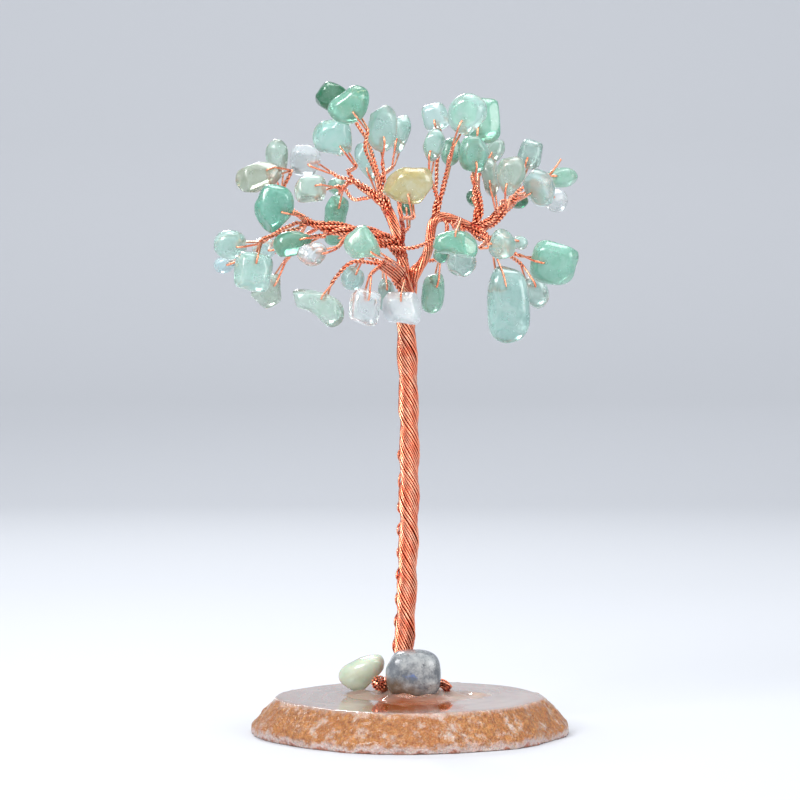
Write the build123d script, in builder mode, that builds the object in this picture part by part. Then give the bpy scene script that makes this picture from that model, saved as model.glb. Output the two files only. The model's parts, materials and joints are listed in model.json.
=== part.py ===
"""Gemstone tree ornament: stone chips wired to a twisted copper tree that stands on an agate slice."""
import os
from math import asin, atan, cos, floor, pi, radians, sin, sqrt, tan
from typing import NamedTuple

from build123d import *

os.makedirs("parts", exist_ok=True)

# Agate slice, in millimetres. Its underside lies on the ground and its middle is the origin.
base_width = 60.0
base_depth = 56.0
base_thickness = 7.0
base_edge_band = 1.8
base_top_share = 0.85

# Trunk: a rope of copper wires with a soft bow, a little behind and to the left of the slice's middle.
wire_diameter = 0.42
trunk_diameter = 3.8
trunk_length = 77.2
trunk_lay_length = 18.0
trunk_bow = 1.2
trunk_setback = 4.0
head_shift_left = 1.1
foot_shift_left = 1.5

# Roots: bundles of the same wires, bent out flat over the slice at the trunk's foot.
root_diameter = 1.1
root_rise = 2.6
root_bend_radius = 0.9
root_reach = 7.6
root_ring_diameter = 2.6
root_top_gap = 0.16

# Crown, measured from the trunk's head: where every fork, stem and chip lies is a share of these.
crown_width = 69.0
crown_depth = 46.0
crown_height = 38.0

# Knots of wound wire at the forks, and the limbs and stems between them.
head_knot_diameter = 4.2
leader_knot_diameter = 3.0
upper_left_knot_diameter = 2.7
inner_right_knot_diameter = 2.5
right_knot_diameter = 2.8
leader_limb_diameter = 2.1
right_limb_diameter = 1.8
thick_stem_diameter = 1.7
middle_stem_diameter = 1.4
thin_stem_diameter = 1.2
stem_bend_radius = 12.0

# Stone chips and the doubled wire that holds each of them.
chip_length = 8.0
chip_width = 6.5
chip_thickness = 4.0
chip_hole_diameter = 1.0
twig_diameter = 0.84
twig_lead = 1.6
twig_tip_gap = 1.0
twig_bend_radius = 3.0
loop_bend_radius = 0.45
loop_leg_spacing = 0.5
loop_bite = 0.3

# Pebbles set into clear resin round the trunk's foot.
grey_pebble_length = 10.4
grey_pebble_depth = 7.4
grey_pebble_height = 9.0
grey_pebble_right = 0.6
grey_pebble_front = 2.4
pale_pebble_length = 8.6
pale_pebble_depth = 5.6
pale_pebble_height = 7.2
pale_pebble_left = 9.3
pale_pebble_back = 6.0
resin_width = 30.0
resin_depth = 22.0
resin_thickness = 0.9
resin_right = 1.4
resin_back = 1.6

# Room between pieces that lie on each other, and between a stem and the knot that it bends at.
piece_gap = 0.05
swing_gap = 0.3

# Outline of a chip: shares of its length, from the wired end, and of its width.
outline_shares = {
    "oval": [
        (0.5, 0.02), (0.36, 0.36), (0.02, 0.5), (-0.34, 0.37),
        (-0.5, 0.0), (-0.36, -0.35), (0.0, -0.5), (0.36, -0.38),
    ],
    "egg": [
        (0.5, 0.05), (0.33, 0.42), (0.02, 0.49), (-0.32, 0.28),
        (-0.5, 0.0), (-0.33, -0.27), (0.0, -0.46), (0.34, -0.44),
    ],
    "wedge": [
        (0.5, -0.12), (0.42, 0.38), (0.12, 0.46), (-0.2, 0.24),
        (-0.5, 0.02), (-0.28, -0.24), (0.1, -0.42), (0.4, -0.46),
    ],
    "block": [
        (0.5, 0.1), (0.42, 0.42), (0.0, 0.48), (-0.4, 0.42),
        (-0.5, 0.0), (-0.42, -0.4), (0.05, -0.5), (0.44, -0.36),
    ],
    "kite": [
        (0.5, -0.08), (0.3, 0.36), (-0.02, 0.5), (-0.3, 0.3),
        (-0.5, -0.05), (-0.3, -0.42), (0.08, -0.48), (0.38, -0.4),
    ],
    "long": [
        (0.5, 0.12), (0.3, 0.45), (-0.1, 0.42), (-0.4, 0.3),
        (-0.5, -0.02), (-0.3, -0.33), (0.1, -0.5), (0.42, -0.36),
    ],
}

# Fullness of a chip and of a pebble: share of the height against share of the outline.
chip_section_shares = [(-0.5, 0.58), (-0.28, 0.9), (0.0, 1.0), (0.28, 0.9), (0.5, 0.58)]
pebble_section_shares = [(0.0, 0.66), (0.2, 0.92), (0.45, 1.0), (0.75, 0.86), (1.0, 0.42)]
chip_hole_share = 0.33
loop_shoulder_share = 0.14
bend_room_share = 0.45
strand_room_share = 0.12

# Rim of the slice and of the resin: share of the half width at equal steps round, from the right.
base_rim_shares = [
    1.0, 0.975, 0.99, 0.96, 0.985, 1.0, 0.965, 0.98,
    1.0, 0.97, 0.955, 0.99, 1.0, 0.97, 0.985, 0.96,
]
resin_rim_shares = [
    1.0, 0.97, 0.9, 0.9, 0.88, 0.9, 0.95, 0.98,
    1.0, 0.97, 0.93, 0.96, 0.9, 0.95, 0.92, 0.98,
]

# Roots: turn round the trunk from the right, and share of the reach.
root_turn_shares = [(210, 0.68), (340, 1.0), (30, 0.75), (75, 0.7), (115, 0.62)]

# Forks: across, back and up, as shares of the crown's width, depth and height.
knot_shares = {
    "head": (0.0, 0.0, 0.0),
    "leader": (-0.01, 0.0, 0.195),
    "upper_left": (-0.045, 0.025, 0.395),
    "inner_right": (0.09, 0.025, 0.35),
    "right": (0.205, 0.025, 0.285),
}
knot_diameters = {
    "head": head_knot_diameter,
    "leader": leader_knot_diameter,
    "upper_left": upper_left_knot_diameter,
    "inner_right": inner_right_knot_diameter,
    "right": right_knot_diameter,
}

# The two limbs that stay with the trunk, from its head to their last knot.
limb_shares = {
    "leader_limb": [
        (0.0, 0.0, 0.0), (-0.005, 0.0, 0.105), (-0.01, 0.0, 0.195),
        (-0.02, 0.015, 0.295), (-0.045, 0.025, 0.395),
    ],
    "right_limb": [
        (0.0, 0.0, 0.0), (0.03, 0.0, 0.105), (0.055, 0.025, 0.235),
        (0.09, 0.025, 0.35), (0.14, 0.025, 0.3), (0.205, 0.025, 0.285),
    ],
}
limb_diameters = {"leader_limb": leader_limb_diameter, "right_limb": right_limb_diameter}

# The stems of the branches that bend: the knot each leaves, and its corners up to its end.
stem_knots = {
    "left": "leader",
    "upper_left": "upper_left",
    "top": "upper_left",
    "centre": "leader",
    "lower_left": "head",
    "inner_right": "inner_right",
    "upper_right": "right",
    "right": "right",
    "lower_right": "right",
}
stem_diameters = {
    "left": thick_stem_diameter,
    "upper_left": middle_stem_diameter,
    "top": thin_stem_diameter,
    "centre": thin_stem_diameter,
    "lower_left": middle_stem_diameter,
    "inner_right": thin_stem_diameter,
    "upper_right": middle_stem_diameter,
    "right": middle_stem_diameter,
    "lower_right": middle_stem_diameter,
}
stem_shares = {
    "left": [(-0.07, -0.055, 0.25), (-0.145, -0.11, 0.275), (-0.225, -0.135, 0.3), (-0.29, -0.165, 0.335)],
    "upper_left": [(-0.09, 0.08, 0.47), (-0.135, 0.135, 0.53), (-0.16, 0.165, 0.57)],
    "top": [(-0.06, 0.0, 0.48), (-0.07, -0.025, 0.57)],
    "centre": [(0.0, -0.08, 0.27), (-0.01, -0.165, 0.355)],
    "lower_left": [(-0.035, -0.08, 0.075), (-0.065, -0.165, 0.145)],
    "inner_right": [(0.095, 0.055, 0.42), (0.1, 0.07, 0.475)],
    "upper_right": [(0.205, 0.015, 0.38), (0.2, 0.055, 0.475), (0.19, 0.11, 0.545)],
    "right": [(0.245, 0.095, 0.335), (0.285, 0.15, 0.405), (0.325, 0.19, 0.46)],
    "lower_right": [(0.225, -0.08, 0.24), (0.245, -0.165, 0.2)],
}


class Chip(NamedTuple):
    """One chip: its place in the crown, its size, how it is turned and how its twig runs."""

    shade: str
    place_shares: tuple
    size_shares: tuple
    turns: tuple
    outline: str
    leave_share: float
    via_shares: list = []


# Chips by the stem or limb that their twigs leave. Turns: aim in the front view, dive to the front, roll.
chip_shares = {
    "left": [
        Chip("green", (-0.35, -0.245, 0.385), (0.89, 1.43, 1.05), (168, 8, 10), "kite", 1.0),
        Chip(
            "pale", (-0.395, -0.055, 0.55), (1.09, 0.87, 1.1), (196, 5, -15), "long", 0.93,
            [(-0.35, 0.01, 0.44)],
        ),
        Chip(
            "pale", (-0.35, 0.11, 0.64), (0.96, 0.68, 0.9), (95, 0, 20), "egg", 0.8,
            [(-0.325, 0.025, 0.405), (-0.34, 0.135, 0.485)],
        ),
        Chip(
            "pale", (-0.475, -0.055, 0.21), (0.78, 0.87, 1.0), (182, 5, 12), "oval", 0.97,
            [(-0.34, -0.08, 0.285)],
        ),
        Chip(
            "pale", (-0.5, 0.215, 0.115), (0.53, 0.53, 0.8), (200, -10, 10), "oval", 0.78,
            [(-0.325, 0.215, 0.195), (-0.425, 0.27, 0.145)],
        ),
        Chip(
            "pale", (-0.405, -0.27, 0.08), (0.88, 1.09, 1.07), (258, 10, 8), "block", 0.94,
            [(-0.36, -0.175, 0.25)],
        ),
        Chip("clear", (-0.385, 0.11, 0.195), (0.62, 0.65, 0.85), (186, -5, 15), "oval", 0.88),
        Chip("green", (-0.3, -0.215, 0.215), (0.89, 0.75, 1.0), (190, 5, -12), "long", 0.72),
        Chip(
            "clear", (-0.245, -0.355, 0.16), (0.72, 0.68, 0.95), (195, 28, 10), "kite", 0.5,
            [(-0.165, -0.19, 0.23)],
        ),
        Chip(
            "pale", (-0.37, 0.08, -0.01), (0.81, 0.94, 0.95), (242, -5, 14), "wedge", 0.68,
            [(-0.28, -0.135, 0.24), (-0.315, -0.055, 0.15)],
        ),
        Chip("green", (-0.19, 0.11, 0.25), (0.53, 0.5, 0.75), (190, -8, 10), "oval", 0.38),
    ],
    "upper_left": [
        Chip("pale", (-0.185, 0.0, 0.735), (0.95, 1.34, 1.07), (128, 5, 8), "wedge", 0.95),
        Chip("pale", (-0.105, 0.355, 0.635), (0.98, 0.6, 0.85), (110, -10, 12), "egg", 0.5),
        Chip(
            "clear", (-0.275, 0.245, 0.64), (0.77, 0.92, 1.0), (155, -8, 14), "oval", 1.0,
            [(-0.21, 0.215, 0.58)],
        ),
        Chip(
            "pale", (-0.255, -0.11, 0.485), (0.75, 0.78, 1.0), (186, 0, -12), "block", 0.8,
            [(-0.175, -0.025, 0.465)],
        ),
        Chip(
            "green", (-0.19, 0.27, 0.375), (0.87, 0.66, 0.9), (258, -8, 10), "block", 0.35,
            [(-0.145, 0.19, 0.435)],
        ),
        Chip("green", (-0.19, 0.38, 0.515), (0.44, 0.51, 0.75), (195, -15, 10), "oval", 0.65),
    ],
    "top": [
        Chip(
            "green", (-0.2, 0.135, 0.955), (0.67, 0.83, 1.0), (150, -8, 14), "block", 0.9,
            [(-0.1, 0.08, 0.735), (-0.14, 0.135, 0.845)],
        ),
        Chip(
            "green", (-0.145, -0.165, 0.89), (0.75, 1.33, 1.05), (128, 8, 10), "long", 1.0,
            [(-0.11, -0.135, 0.69)],
        ),
        Chip("pale", (-0.06, -0.055, 0.785), (1.11, 0.9, 1.05), (90, 6, -10), "oval", 1.0),
        Chip("pale", (-0.01, 0.19, 0.77), (0.96, 0.53, 0.85), (78, -8, 14), "egg", 0.8),
    ],
    "centre": [
        Chip("yellow", (0.01, -0.325, 0.49), (0.86, 1.48, 1.1), (102, 10, 8), "kite", 1.0),
    ],
    "lower_left": [
        Chip("green", (-0.105, -0.38, 0.2), (0.83, 1.02, 1.05), (150, 8, 10), "wedge", 0.95),
        Chip(
            "pale", (-0.225, -0.215, -0.085), (0.61, 1.72, 1.0), (243, 5, -10), "long", 0.85,
            [(-0.145, -0.215, 0.135)],
        ),
        Chip("pale", (-0.14, -0.055, 0.045), (0.59, 0.67, 0.85), (250, 0, 10), "oval", 0.7),
        Chip("clear", (-0.105, -0.3, -0.095), (0.84, 0.91, 1.05), (262, 6, 12), "block", 0.9),
        Chip("green", (-0.05, 0.11, -0.04), (0.81, 0.53, 0.8), (275, -5, 10), "egg", 0.5),
    ],
    "inner_right": [
        Chip("pale", (0.08, -0.055, 0.7), (0.8, 0.64, 0.85), (82, 0, 14), "egg", 0.55),
        Chip("green", (0.13, 0.135, 0.68), (0.7, 0.59, 0.85), (80, -6, 10), "oval", 0.9),
        Chip(
            "pale", (0.085, 0.025, 0.85), (0.64, 0.76, 0.9), (105, -5, 12), "block", 0.78,
            [(0.09, 0.07, 0.635)],
        ),
        Chip(
            "pale", (0.17, -0.165, 0.85), (0.98, 1.1, 1.05), (66, 8, 10), "oval", 1.0,
            [(0.125, -0.015, 0.63)],
        ),
    ],
    "upper_right": [
        Chip("green", (0.19, -0.025, 0.66), (0.88, 0.9, 1.05), (92, 8, -10), "oval", 1.0),
        Chip(
            "green", (0.215, 0.215, 0.84), (1.11, 1.13, 1.0), (85, -8, 14), "block", 0.95,
            [(0.19, 0.215, 0.61)],
        ),
        Chip(
            "pale", (0.255, 0.38, 0.695), (0.64, 0.54, 0.8), (62, -10, 10), "oval", 0.72,
            [(0.21, 0.38, 0.575)],
        ),
        Chip("green", (0.195, 0.3, 0.45), (0.44, 0.42, 0.7), (110, -30, 10), "oval", 0.4),
    ],
    "right": [
        Chip("pale", (0.24, 0.11, 0.545), (1.01, 0.56, 0.9), (98, -25, 12), "long", 0.4),
        Chip("pale", (0.29, -0.055, 0.55), (0.95, 0.84, 1.05), (82, 8, 14), "egg", 0.7),
        Chip("pale", (0.355, 0.355, 0.675), (0.73, 0.69, 0.9), (72, -8, 10), "block", 0.8),
        Chip("pale", (0.37, 0.025, 0.495), (0.71, 1.17, 1.05), (20, 30, -12), "oval", 1.0),
        Chip("green", (0.44, 0.27, 0.555), (0.78, 0.6, 0.9), (5, -5, 10), "oval", 0.95),
        Chip("clear", (0.43, 0.435, 0.445), (0.59, 0.72, 0.9), (-18, -10, 12), "oval", 0.9),
        Chip("green", (0.325, 0.46, 0.44), (0.49, 0.45, 0.75), (0, -40, 10), "oval", 0.58),
    ],
    "lower_right": [
        Chip("pale", (0.26, -0.38, 0.21), (0.62, 0.88, 1.0), (10, 35, 10), "kite", 0.8),
        Chip("green", (0.405, -0.165, 0.12), (1.08, 1.27, 1.1), (-12, 8, -10), "block", 0.7),
        Chip("pale", (0.275, -0.245, -0.08), (1.82, 1.23, 1.25), (-77, 4, 12), "egg", 1.0),
        Chip("pale", (0.36, 0.055, -0.025), (0.81, 0.79, 1.0), (-65, -6, 14), "oval", 0.6),
        Chip("pale", (0.315, -0.055, 0.22), (0.4, 0.41, 0.75), (-8, -10, 10), "oval", 0.2),
    ],
    "head": [
        Chip("clear", (-0.005, -0.19, -0.1), (0.75, 1.15, 1.05), (268, 6, -8), "block", 0.0),
    ],
    "leader_limb": [
        Chip("green", (0.01, 0.11, 0.405), (0.41, 0.38, 0.7), (95, -10, 10), "block", 0.66),
    ],
    "right_limb": [
        Chip("green", (0.08, 0.135, -0.03), (1.01, 0.62, 0.85), (256, -6, 12), "oval", 0.25),
        Chip(
            "green", (0.14, -0.38, 0.215), (0.58, 1.36, 1.05), (262, 8, -12), "long", 0.8,
            [(0.14, -0.27, 0.3)],
        ),
        Chip(
            "pale", (0.155, -0.19, 0.125), (0.7, 0.86, 1.0), (265, 0, 10), "oval", 0.87,
            [(0.16, -0.165, 0.25)],
        ),
        Chip("green", (0.1, -0.11, 0.16), (0.4, 0.43, 0.75), (255, -8, 10), "oval", 0.74),
    ],
}
fork_parts = ["head", "leader_limb", "right_limb"]

trunk_head = Vector(-head_shift_left, trunk_setback, base_thickness + trunk_length)
trunk_foot = Vector(-foot_shift_left, trunk_setback, base_thickness + root_rise)


def crown_place(shares):
    """Point of the crown at the given shares of its width, depth and height."""
    across, back, up = shares
    return trunk_head + Vector(across * crown_width, back * crown_depth, up * crown_height)


def straightened(points):
    """Route without the corners at which it hardly turns."""
    kept = [points[0]]
    for corner, after in zip(points[1:], points[2:]):
        if (corner - kept[-1]).get_angle(after - corner) > 1:
            kept.append(corner)
    return [*kept, points[-1]]


def bend_radii(points, radius):
    """Bends of a route: the wanted radius, or the largest that the runs beside the corner leave room for."""
    radii = []
    for before, corner, after in zip(points, points[1:], points[2:]):
        run_in = corner - before
        run_out = after - corner
        half_turn = radians(run_in.get_angle(run_out)) / 2
        room = bend_room_share * min(run_in.length, run_out.length)
        radii.append(min(radius, room / tan(half_turn)))
    return radii


def rod(points, diameter, bend_radius):
    """Round rod along a route with rounded corners."""
    route = straightened(points)
    with BuildPart() as bar:
        with BuildLine() as centre_line:
            if len(route) == 2:
                Line(*route)
            else:
                FilletPolyline(*route, radius=bend_radii(route, bend_radius))
        with BuildSketch(Plane(origin=centre_line.line @ 0, z_dir=centre_line.line % 0)):
            Circle(diameter / 2)
        sweep(path=centre_line.line)
    return bar.part


def point_along(points, share):
    """Point and direction at a share of the length of a route."""
    runs = [after - before for before, after in zip(points, points[1:])]
    wanted = share * sum(run.length for run in runs)
    for before, run in zip(points, runs):
        if wanted <= run.length:
            return before + run.normalized() * wanted, run.normalized()
        wanted -= run.length
    return points[-1], runs[-1].normalized()


def chip_plane(chip):
    """Plane of a chip: x from its wired end to its far end, z out of its broad face."""
    aim, dive, roll = (radians(turn) for turn in chip.turns)
    length_way = Vector(cos(dive) * cos(aim), -sin(dive), cos(dive) * sin(aim))
    front = Vector(0, -1, 0)
    face_way = (front - length_way * front.dot(length_way)).normalized()
    side_way = face_way.cross(length_way)
    face_way = face_way * cos(roll) + side_way * sin(roll)
    return Plane(origin=crown_place(chip.place_shares), x_dir=length_way, z_dir=face_way)


def chip_sizes(chip):
    """Length, width and thickness of a chip."""
    length_share, width_share, thickness_share = chip.size_shares
    return length_share * chip_length, width_share * chip_width, thickness_share * chip_thickness


def chip_stone(chip):
    """Tumbled chip: a cushion with a drilled hole near its wired end."""
    plane = chip_plane(chip)
    length, width, thickness = chip_sizes(chip)
    with BuildPart() as stone:
        for height_share, full_share in chip_section_shares:
            with BuildSketch(plane.offset(height_share * thickness)):
                with BuildLine():
                    Spline(
                        [
                            (length_share * full_share * length, width_share * full_share * width)
                            for length_share, width_share in outline_shares[chip.outline]
                        ],
                        periodic=True,
                    )
                make_face()
        loft()
        with BuildSketch(plane):
            with Locations((chip_hole_share * length - length / 2, 0)):
                Circle(chip_hole_diameter / 2)
        extrude(amount=thickness, both=True, mode=Mode.SUBTRACT)
    return stone.part


def twig_route(chip, stem):
    """Corners of a twig, from the stem's side to the point where its wires part for the chip."""
    plane = chip_plane(chip)
    length = chip_sizes(chip)[0]
    tip = plane.origin - plane.x_dir * (length / 2 + twig_tip_gap)
    knee = tip - plane.x_dir * twig_lead
    corners = [*(crown_place(shares) for shares in chip.via_shares), knee, tip]
    if stem == "head":
        way = (corners[0] - trunk_head).normalized()
        return [trunk_head + way * (head_knot_diameter / 2 + piece_gap), *corners]
    root, stem_way = point_along(stem_routes[stem], chip.leave_share)
    side_way = corners[0] - root
    side_way = (side_way - stem_way * side_way.dot(stem_way)).normalized()
    stem_radius = stem_radii[stem]
    first_way = (corners[0] - root - side_way * stem_radius).normalized()
    reach = stem_radius + piece_gap + twig_diameter / 2 * abs(first_way.dot(stem_way))
    return [root + side_way * reach, *corners]


def chip_twig(chip, stem):
    """Twig of doubled wire: a shank from the stem, and a loop that passes through the chip's hole."""
    plane = chip_plane(chip)
    length, width, thickness = chip_sizes(chip)
    loop_plane = Plane(origin=plane.origin, x_dir=plane.x_dir, z_dir=-plane.y_dir)
    hole_place = chip_hole_share * length - length / 2
    shoulder_place = loop_shoulder_share * length - length / 2
    loop_start = -length / 2 - twig_tip_gap - loop_bite
    loop_rise = thickness / 2 + loop_bend_radius
    corners = [
        (loop_start, loop_leg_spacing / 2),
        (shoulder_place, loop_rise),
        (hole_place, loop_rise),
        (hole_place, -loop_rise),
        (shoulder_place, -loop_rise),
        (loop_start, -loop_leg_spacing / 2),
    ]
    loop_route = [loop_plane.from_local_coords(Vector(*corner)) for corner in corners]
    with BuildPart() as twig:
        add(rod(twig_route(chip, stem), twig_diameter, twig_bend_radius))
        add(rod(loop_route, wire_diameter, loop_bend_radius))
    return twig.part


def export_group(label, pieces):
    """Writes separate solids of one kind as one named node."""
    group = Compound(label=label, children=pieces)
    export_step(group, f"parts/{label}.step")


# Routes of the limbs and of the stems. A stem starts a little off the knot that it bends at.
stem_routes = {name: [crown_place(shares) for shares in corners] for name, corners in limb_shares.items()}
stem_radii = {name: diameter / 2 for name, diameter in limb_diameters.items()}
for name, corners in stem_shares.items():
    knot = crown_place(knot_shares[stem_knots[name]])
    places = [crown_place(shares) for shares in corners]
    start_way = (places[0] - knot).normalized()
    stem_routes[name] = [knot + start_way * (knot_diameters[stem_knots[name]] / 2 + swing_gap), *places]
    stem_radii[name] = stem_diameters[name] / 2

# Agate slice: an upright band at the foot of the rim, then a slope up to the polished top.
rim_step = 2 * pi / len(base_rim_shares)
base_rim = [
    (share * cos(place * rim_step) * base_width / 2, share * sin(place * rim_step) * base_depth / 2)
    for place, share in enumerate(base_rim_shares)
]
with BuildPart() as agate_base:
    with BuildSketch():
        with BuildLine():
            Spline(base_rim, periodic=True)
        make_face()
    extrude(amount=base_edge_band)
    for height, full_share in [(base_edge_band, 1), (base_thickness, base_top_share)]:
        with BuildSketch(Plane.XY.offset(height)):
            with BuildLine():
                Spline([(full_share * across, full_share * back) for across, back in base_rim], periodic=True)
            make_face()
    loft()
agate_base.part.label = "agate_base"
export_step(agate_base.part, "parts/agate_base.step")


def trunk_place(share):
    """Point of the trunk's bowed middle line, from its foot to its head."""
    bow = 4 * share * (1 - share) * trunk_bow
    return trunk_foot + (trunk_head - trunk_foot) * share + Vector(bow, 0, 0)


def trunk_slope(share):
    """Change of the trunk's middle line with the share of its length."""
    return trunk_head - trunk_foot + Vector(4 * (1 - 2 * share) * trunk_bow, 0, 0)


# Trunk core: the wires in the middle of the rope, up to the knot at the head.
strand_ring_radius = trunk_diameter / 2 - wire_diameter / 2
core_radius = strand_ring_radius - wire_diameter / 2 - piece_gap
trunk_rise = trunk_head.Z - trunk_foot.Z
core_top_share = 1 - (head_knot_diameter / 2 + piece_gap) / trunk_rise
with BuildPart() as trunk_core:
    with BuildLine() as core_line:
        ThreePointArc(trunk_place(0), trunk_place(core_top_share / 2), trunk_place(core_top_share))
    with BuildSketch(Plane(origin=core_line.line @ 0, z_dir=core_line.line % 0)):
        Circle(core_radius)
    sweep(path=core_line.line)
trunk_core.part.label = "trunk_core"
export_step(trunk_core.part, "parts/trunk_core.step")

# Trunk strands: the outer wires, wound to the left, as many as fit round the ring with a little room.
lay_angle = atan(2 * pi * strand_ring_radius / trunk_lay_length)
strand_spacing = wire_diameter * (1 + strand_room_share) / cos(lay_angle)
strand_count = floor(pi / asin(strand_spacing / (2 * strand_ring_radius)))
knot_drop = sqrt((head_knot_diameter / 2) ** 2 - (strand_ring_radius - wire_diameter / 2) ** 2)
strand_top_share = 1 - (knot_drop + wire_diameter) / trunk_rise
strand_turns = strand_top_share * trunk_rise / trunk_lay_length
quarter_count = floor(4 * strand_turns) + 1


def strand_place(share, start_turn):
    """Point of an outer wire on its ring round the trunk's middle line."""
    turn = start_turn - 2 * pi * share * trunk_rise / trunk_lay_length
    return trunk_place(share) + Vector(cos(turn), sin(turn), 0) * strand_ring_radius


def strand_way(share, start_turn):
    """Direction of an outer wire."""
    turn = start_turn - 2 * pi * share * trunk_rise / trunk_lay_length
    speed = -2 * pi * trunk_rise / trunk_lay_length * strand_ring_radius
    return (trunk_slope(share) + Vector(-sin(turn), cos(turn), 0) * speed).normalized()


def add_two_arcs(start, start_way, end, end_way):
    """Two arcs that leave and arrive in the given directions and run into each other smoothly."""
    chord = end - start
    ways = start_way + end_way
    spread = 2 * (1 - start_way.dot(end_way))
    along = chord.dot(ways)
    handle = (sqrt(along ** 2 + spread * chord.dot(chord)) - along) / spread
    start_handle = start + start_way * handle
    end_handle = end - end_way * handle
    middle = (start_handle + end_handle) * 0.5
    TangentArc(start, middle, tangent=start_way)
    TangentArc(middle, end, tangent=(end_handle - start_handle).normalized())


strands = []
for strand in range(strand_count):
    first_turn = 2 * pi * strand / strand_count
    stops = [strand_top_share * quarter / quarter_count for quarter in range(quarter_count + 1)]
    with BuildPart() as strand_wire:
        with BuildLine() as strand_line:
            for low, high in zip(stops, stops[1:]):
                add_two_arcs(
                    strand_place(low, first_turn),
                    strand_way(low, first_turn),
                    strand_place(high, first_turn),
                    strand_way(high, first_turn),
                )
        with BuildSketch(Plane(origin=strand_line.line @ 0, z_dir=strand_line.line % 0)):
            Circle(wire_diameter / 2)
        sweep(path=strand_line.line)
    strands.append(strand_wire.part)
export_group("trunk_strands", strands)

# Main fork: the knot at the trunk's head, and the two limbs with the knots that the branches bend at.
with BuildPart() as main_fork:
    for name, shares in knot_shares.items():
        with Locations(crown_place(shares)):
            Sphere(knot_diameters[name] / 2)
    for name, diameter in limb_diameters.items():
        add(rod(stem_routes[name], diameter, stem_bend_radius))
main_fork.part.label = "main_fork"
export_step(main_fork.part, "parts/main_fork.step")


def root_corners(turn, reach_share):
    """Corners of a root: down from the trunk's foot, then out over the slice."""
    way = Vector(cos(radians(turn)), sin(radians(turn)), 0)
    foot = Vector(trunk_foot.X, trunk_foot.Y, 0)
    low = base_thickness + piece_gap + root_diameter / 2
    ring = foot + way * (root_ring_diameter / 2)
    return [
        Vector(ring.X, ring.Y, trunk_foot.Z - root_top_gap),
        Vector(ring.X, ring.Y, low),
        foot + way * (reach_share * root_reach) + Vector(0, 0, low),
    ]


roots = [
    rod(root_corners(turn, reach_share), root_diameter, root_bend_radius)
    for turn, reach_share in root_turn_shares
]
export_group("root_bundles", roots)


def pebble(place, length, depth, height, outline):
    """Pebble with a flat seat, full in the middle and rounded over the top."""
    with BuildPart() as stone:
        for height_share, full_share in pebble_section_shares:
            with BuildSketch(Plane(origin=place).offset(height_share * height)):
                with BuildLine():
                    Spline(
                        [
                            (length_share * full_share * length, depth_share * full_share * depth)
                            for length_share, depth_share in outline_shares[outline]
                        ],
                        periodic=True,
                    )
                make_face()
        loft()
    return stone.part


# Where each pebble is seated, its length, depth and height, and its outline.
pebble_seat = base_thickness + piece_gap
grey_place = Vector(grey_pebble_right, -grey_pebble_front, pebble_seat)
pale_place = Vector(-pale_pebble_left, pale_pebble_back, pebble_seat)
grey_sizes = [grey_pebble_length, grey_pebble_depth, grey_pebble_height]
pale_sizes = [pale_pebble_length, pale_pebble_depth, pale_pebble_height]

grey_pebble = pebble(grey_place, *grey_sizes, "oval")
grey_pebble.label = "grey_pebble"
export_step(grey_pebble, "parts/grey_pebble.step")
pale_pebble = pebble(pale_place, *pale_sizes, "long")
pale_pebble.label = "pale_pebble"
export_step(pale_pebble, "parts/pale_pebble.step")

# Resin pool: poured flat round the roots and the pebbles, with a little room left at each of them.
resin_step = 2 * pi / len(resin_rim_shares)
resin_rim = [
    (share * cos(place * resin_step) * resin_width / 2, share * sin(place * resin_step) * resin_depth / 2)
    for place, share in enumerate(resin_rim_shares)
]
fit_room = 2 * piece_gap
fit_drop = Vector(0, 0, fit_room)
with BuildPart() as resin_pool:
    with BuildSketch(Plane(origin=(resin_right, resin_back, pebble_seat))):
        with BuildLine():
            Spline(resin_rim, periodic=True)
        make_face()
    extrude(amount=resin_thickness)
    add(pebble(grey_place - fit_drop, *(size + fit_room for size in grey_sizes), "oval"), mode=Mode.SUBTRACT)
    add(pebble(pale_place - fit_drop, *(size + fit_room for size in pale_sizes), "long"), mode=Mode.SUBTRACT)
    for turn, reach_share in root_turn_shares:
        root_room = rod(root_corners(turn, reach_share), root_diameter + fit_room, root_bend_radius)
        add(root_room, mode=Mode.SUBTRACT)
resin_pool.part.label = "resin_pool"
export_step(resin_pool.part, "parts/resin_pool.step")

# Stems of the branches that bend.
for name in stem_shares:
    stem = rod(stem_routes[name], stem_diameters[name], stem_bend_radius)
    stem.label = f"{name}_branch_stem"
    export_step(stem, f"parts/{name}_branch_stem.step")

# Twigs and chips, gathered by branch and by shade of stone. Those of the limbs belong to the fork.
twig_groups = {}
chip_groups = {}
for stem_name, chips in chip_shares.items():
    owner = "fork" if stem_name in fork_parts else f"{stem_name}_branch"
    for chip in chips:
        twig_groups.setdefault(f"{owner}_twigs", []).append(chip_twig(chip, stem_name))
        chip_groups.setdefault(f"{owner}_{chip.shade}_chips", []).append(chip_stone(chip))
for label, pieces in [*twig_groups.items(), *chip_groups.items()]:
    export_group(label, pieces)
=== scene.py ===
# %% [markdown]
# # Gemstone tree ornament
# Green stone chips hang on a tree of twisted copper wire, which stands on a slice of agate.
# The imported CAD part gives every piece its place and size. This lesson dresses it: the plain rods
# become wire, the plain cushions become tumbled stone, and nothing moves from where the frame has it.

# %% Load the frame
import heapq
import json
import math

import bpy
import numpy as np
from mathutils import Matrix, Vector, kdtree, noise
from mathutils.bvhtree import BVHTree

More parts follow.
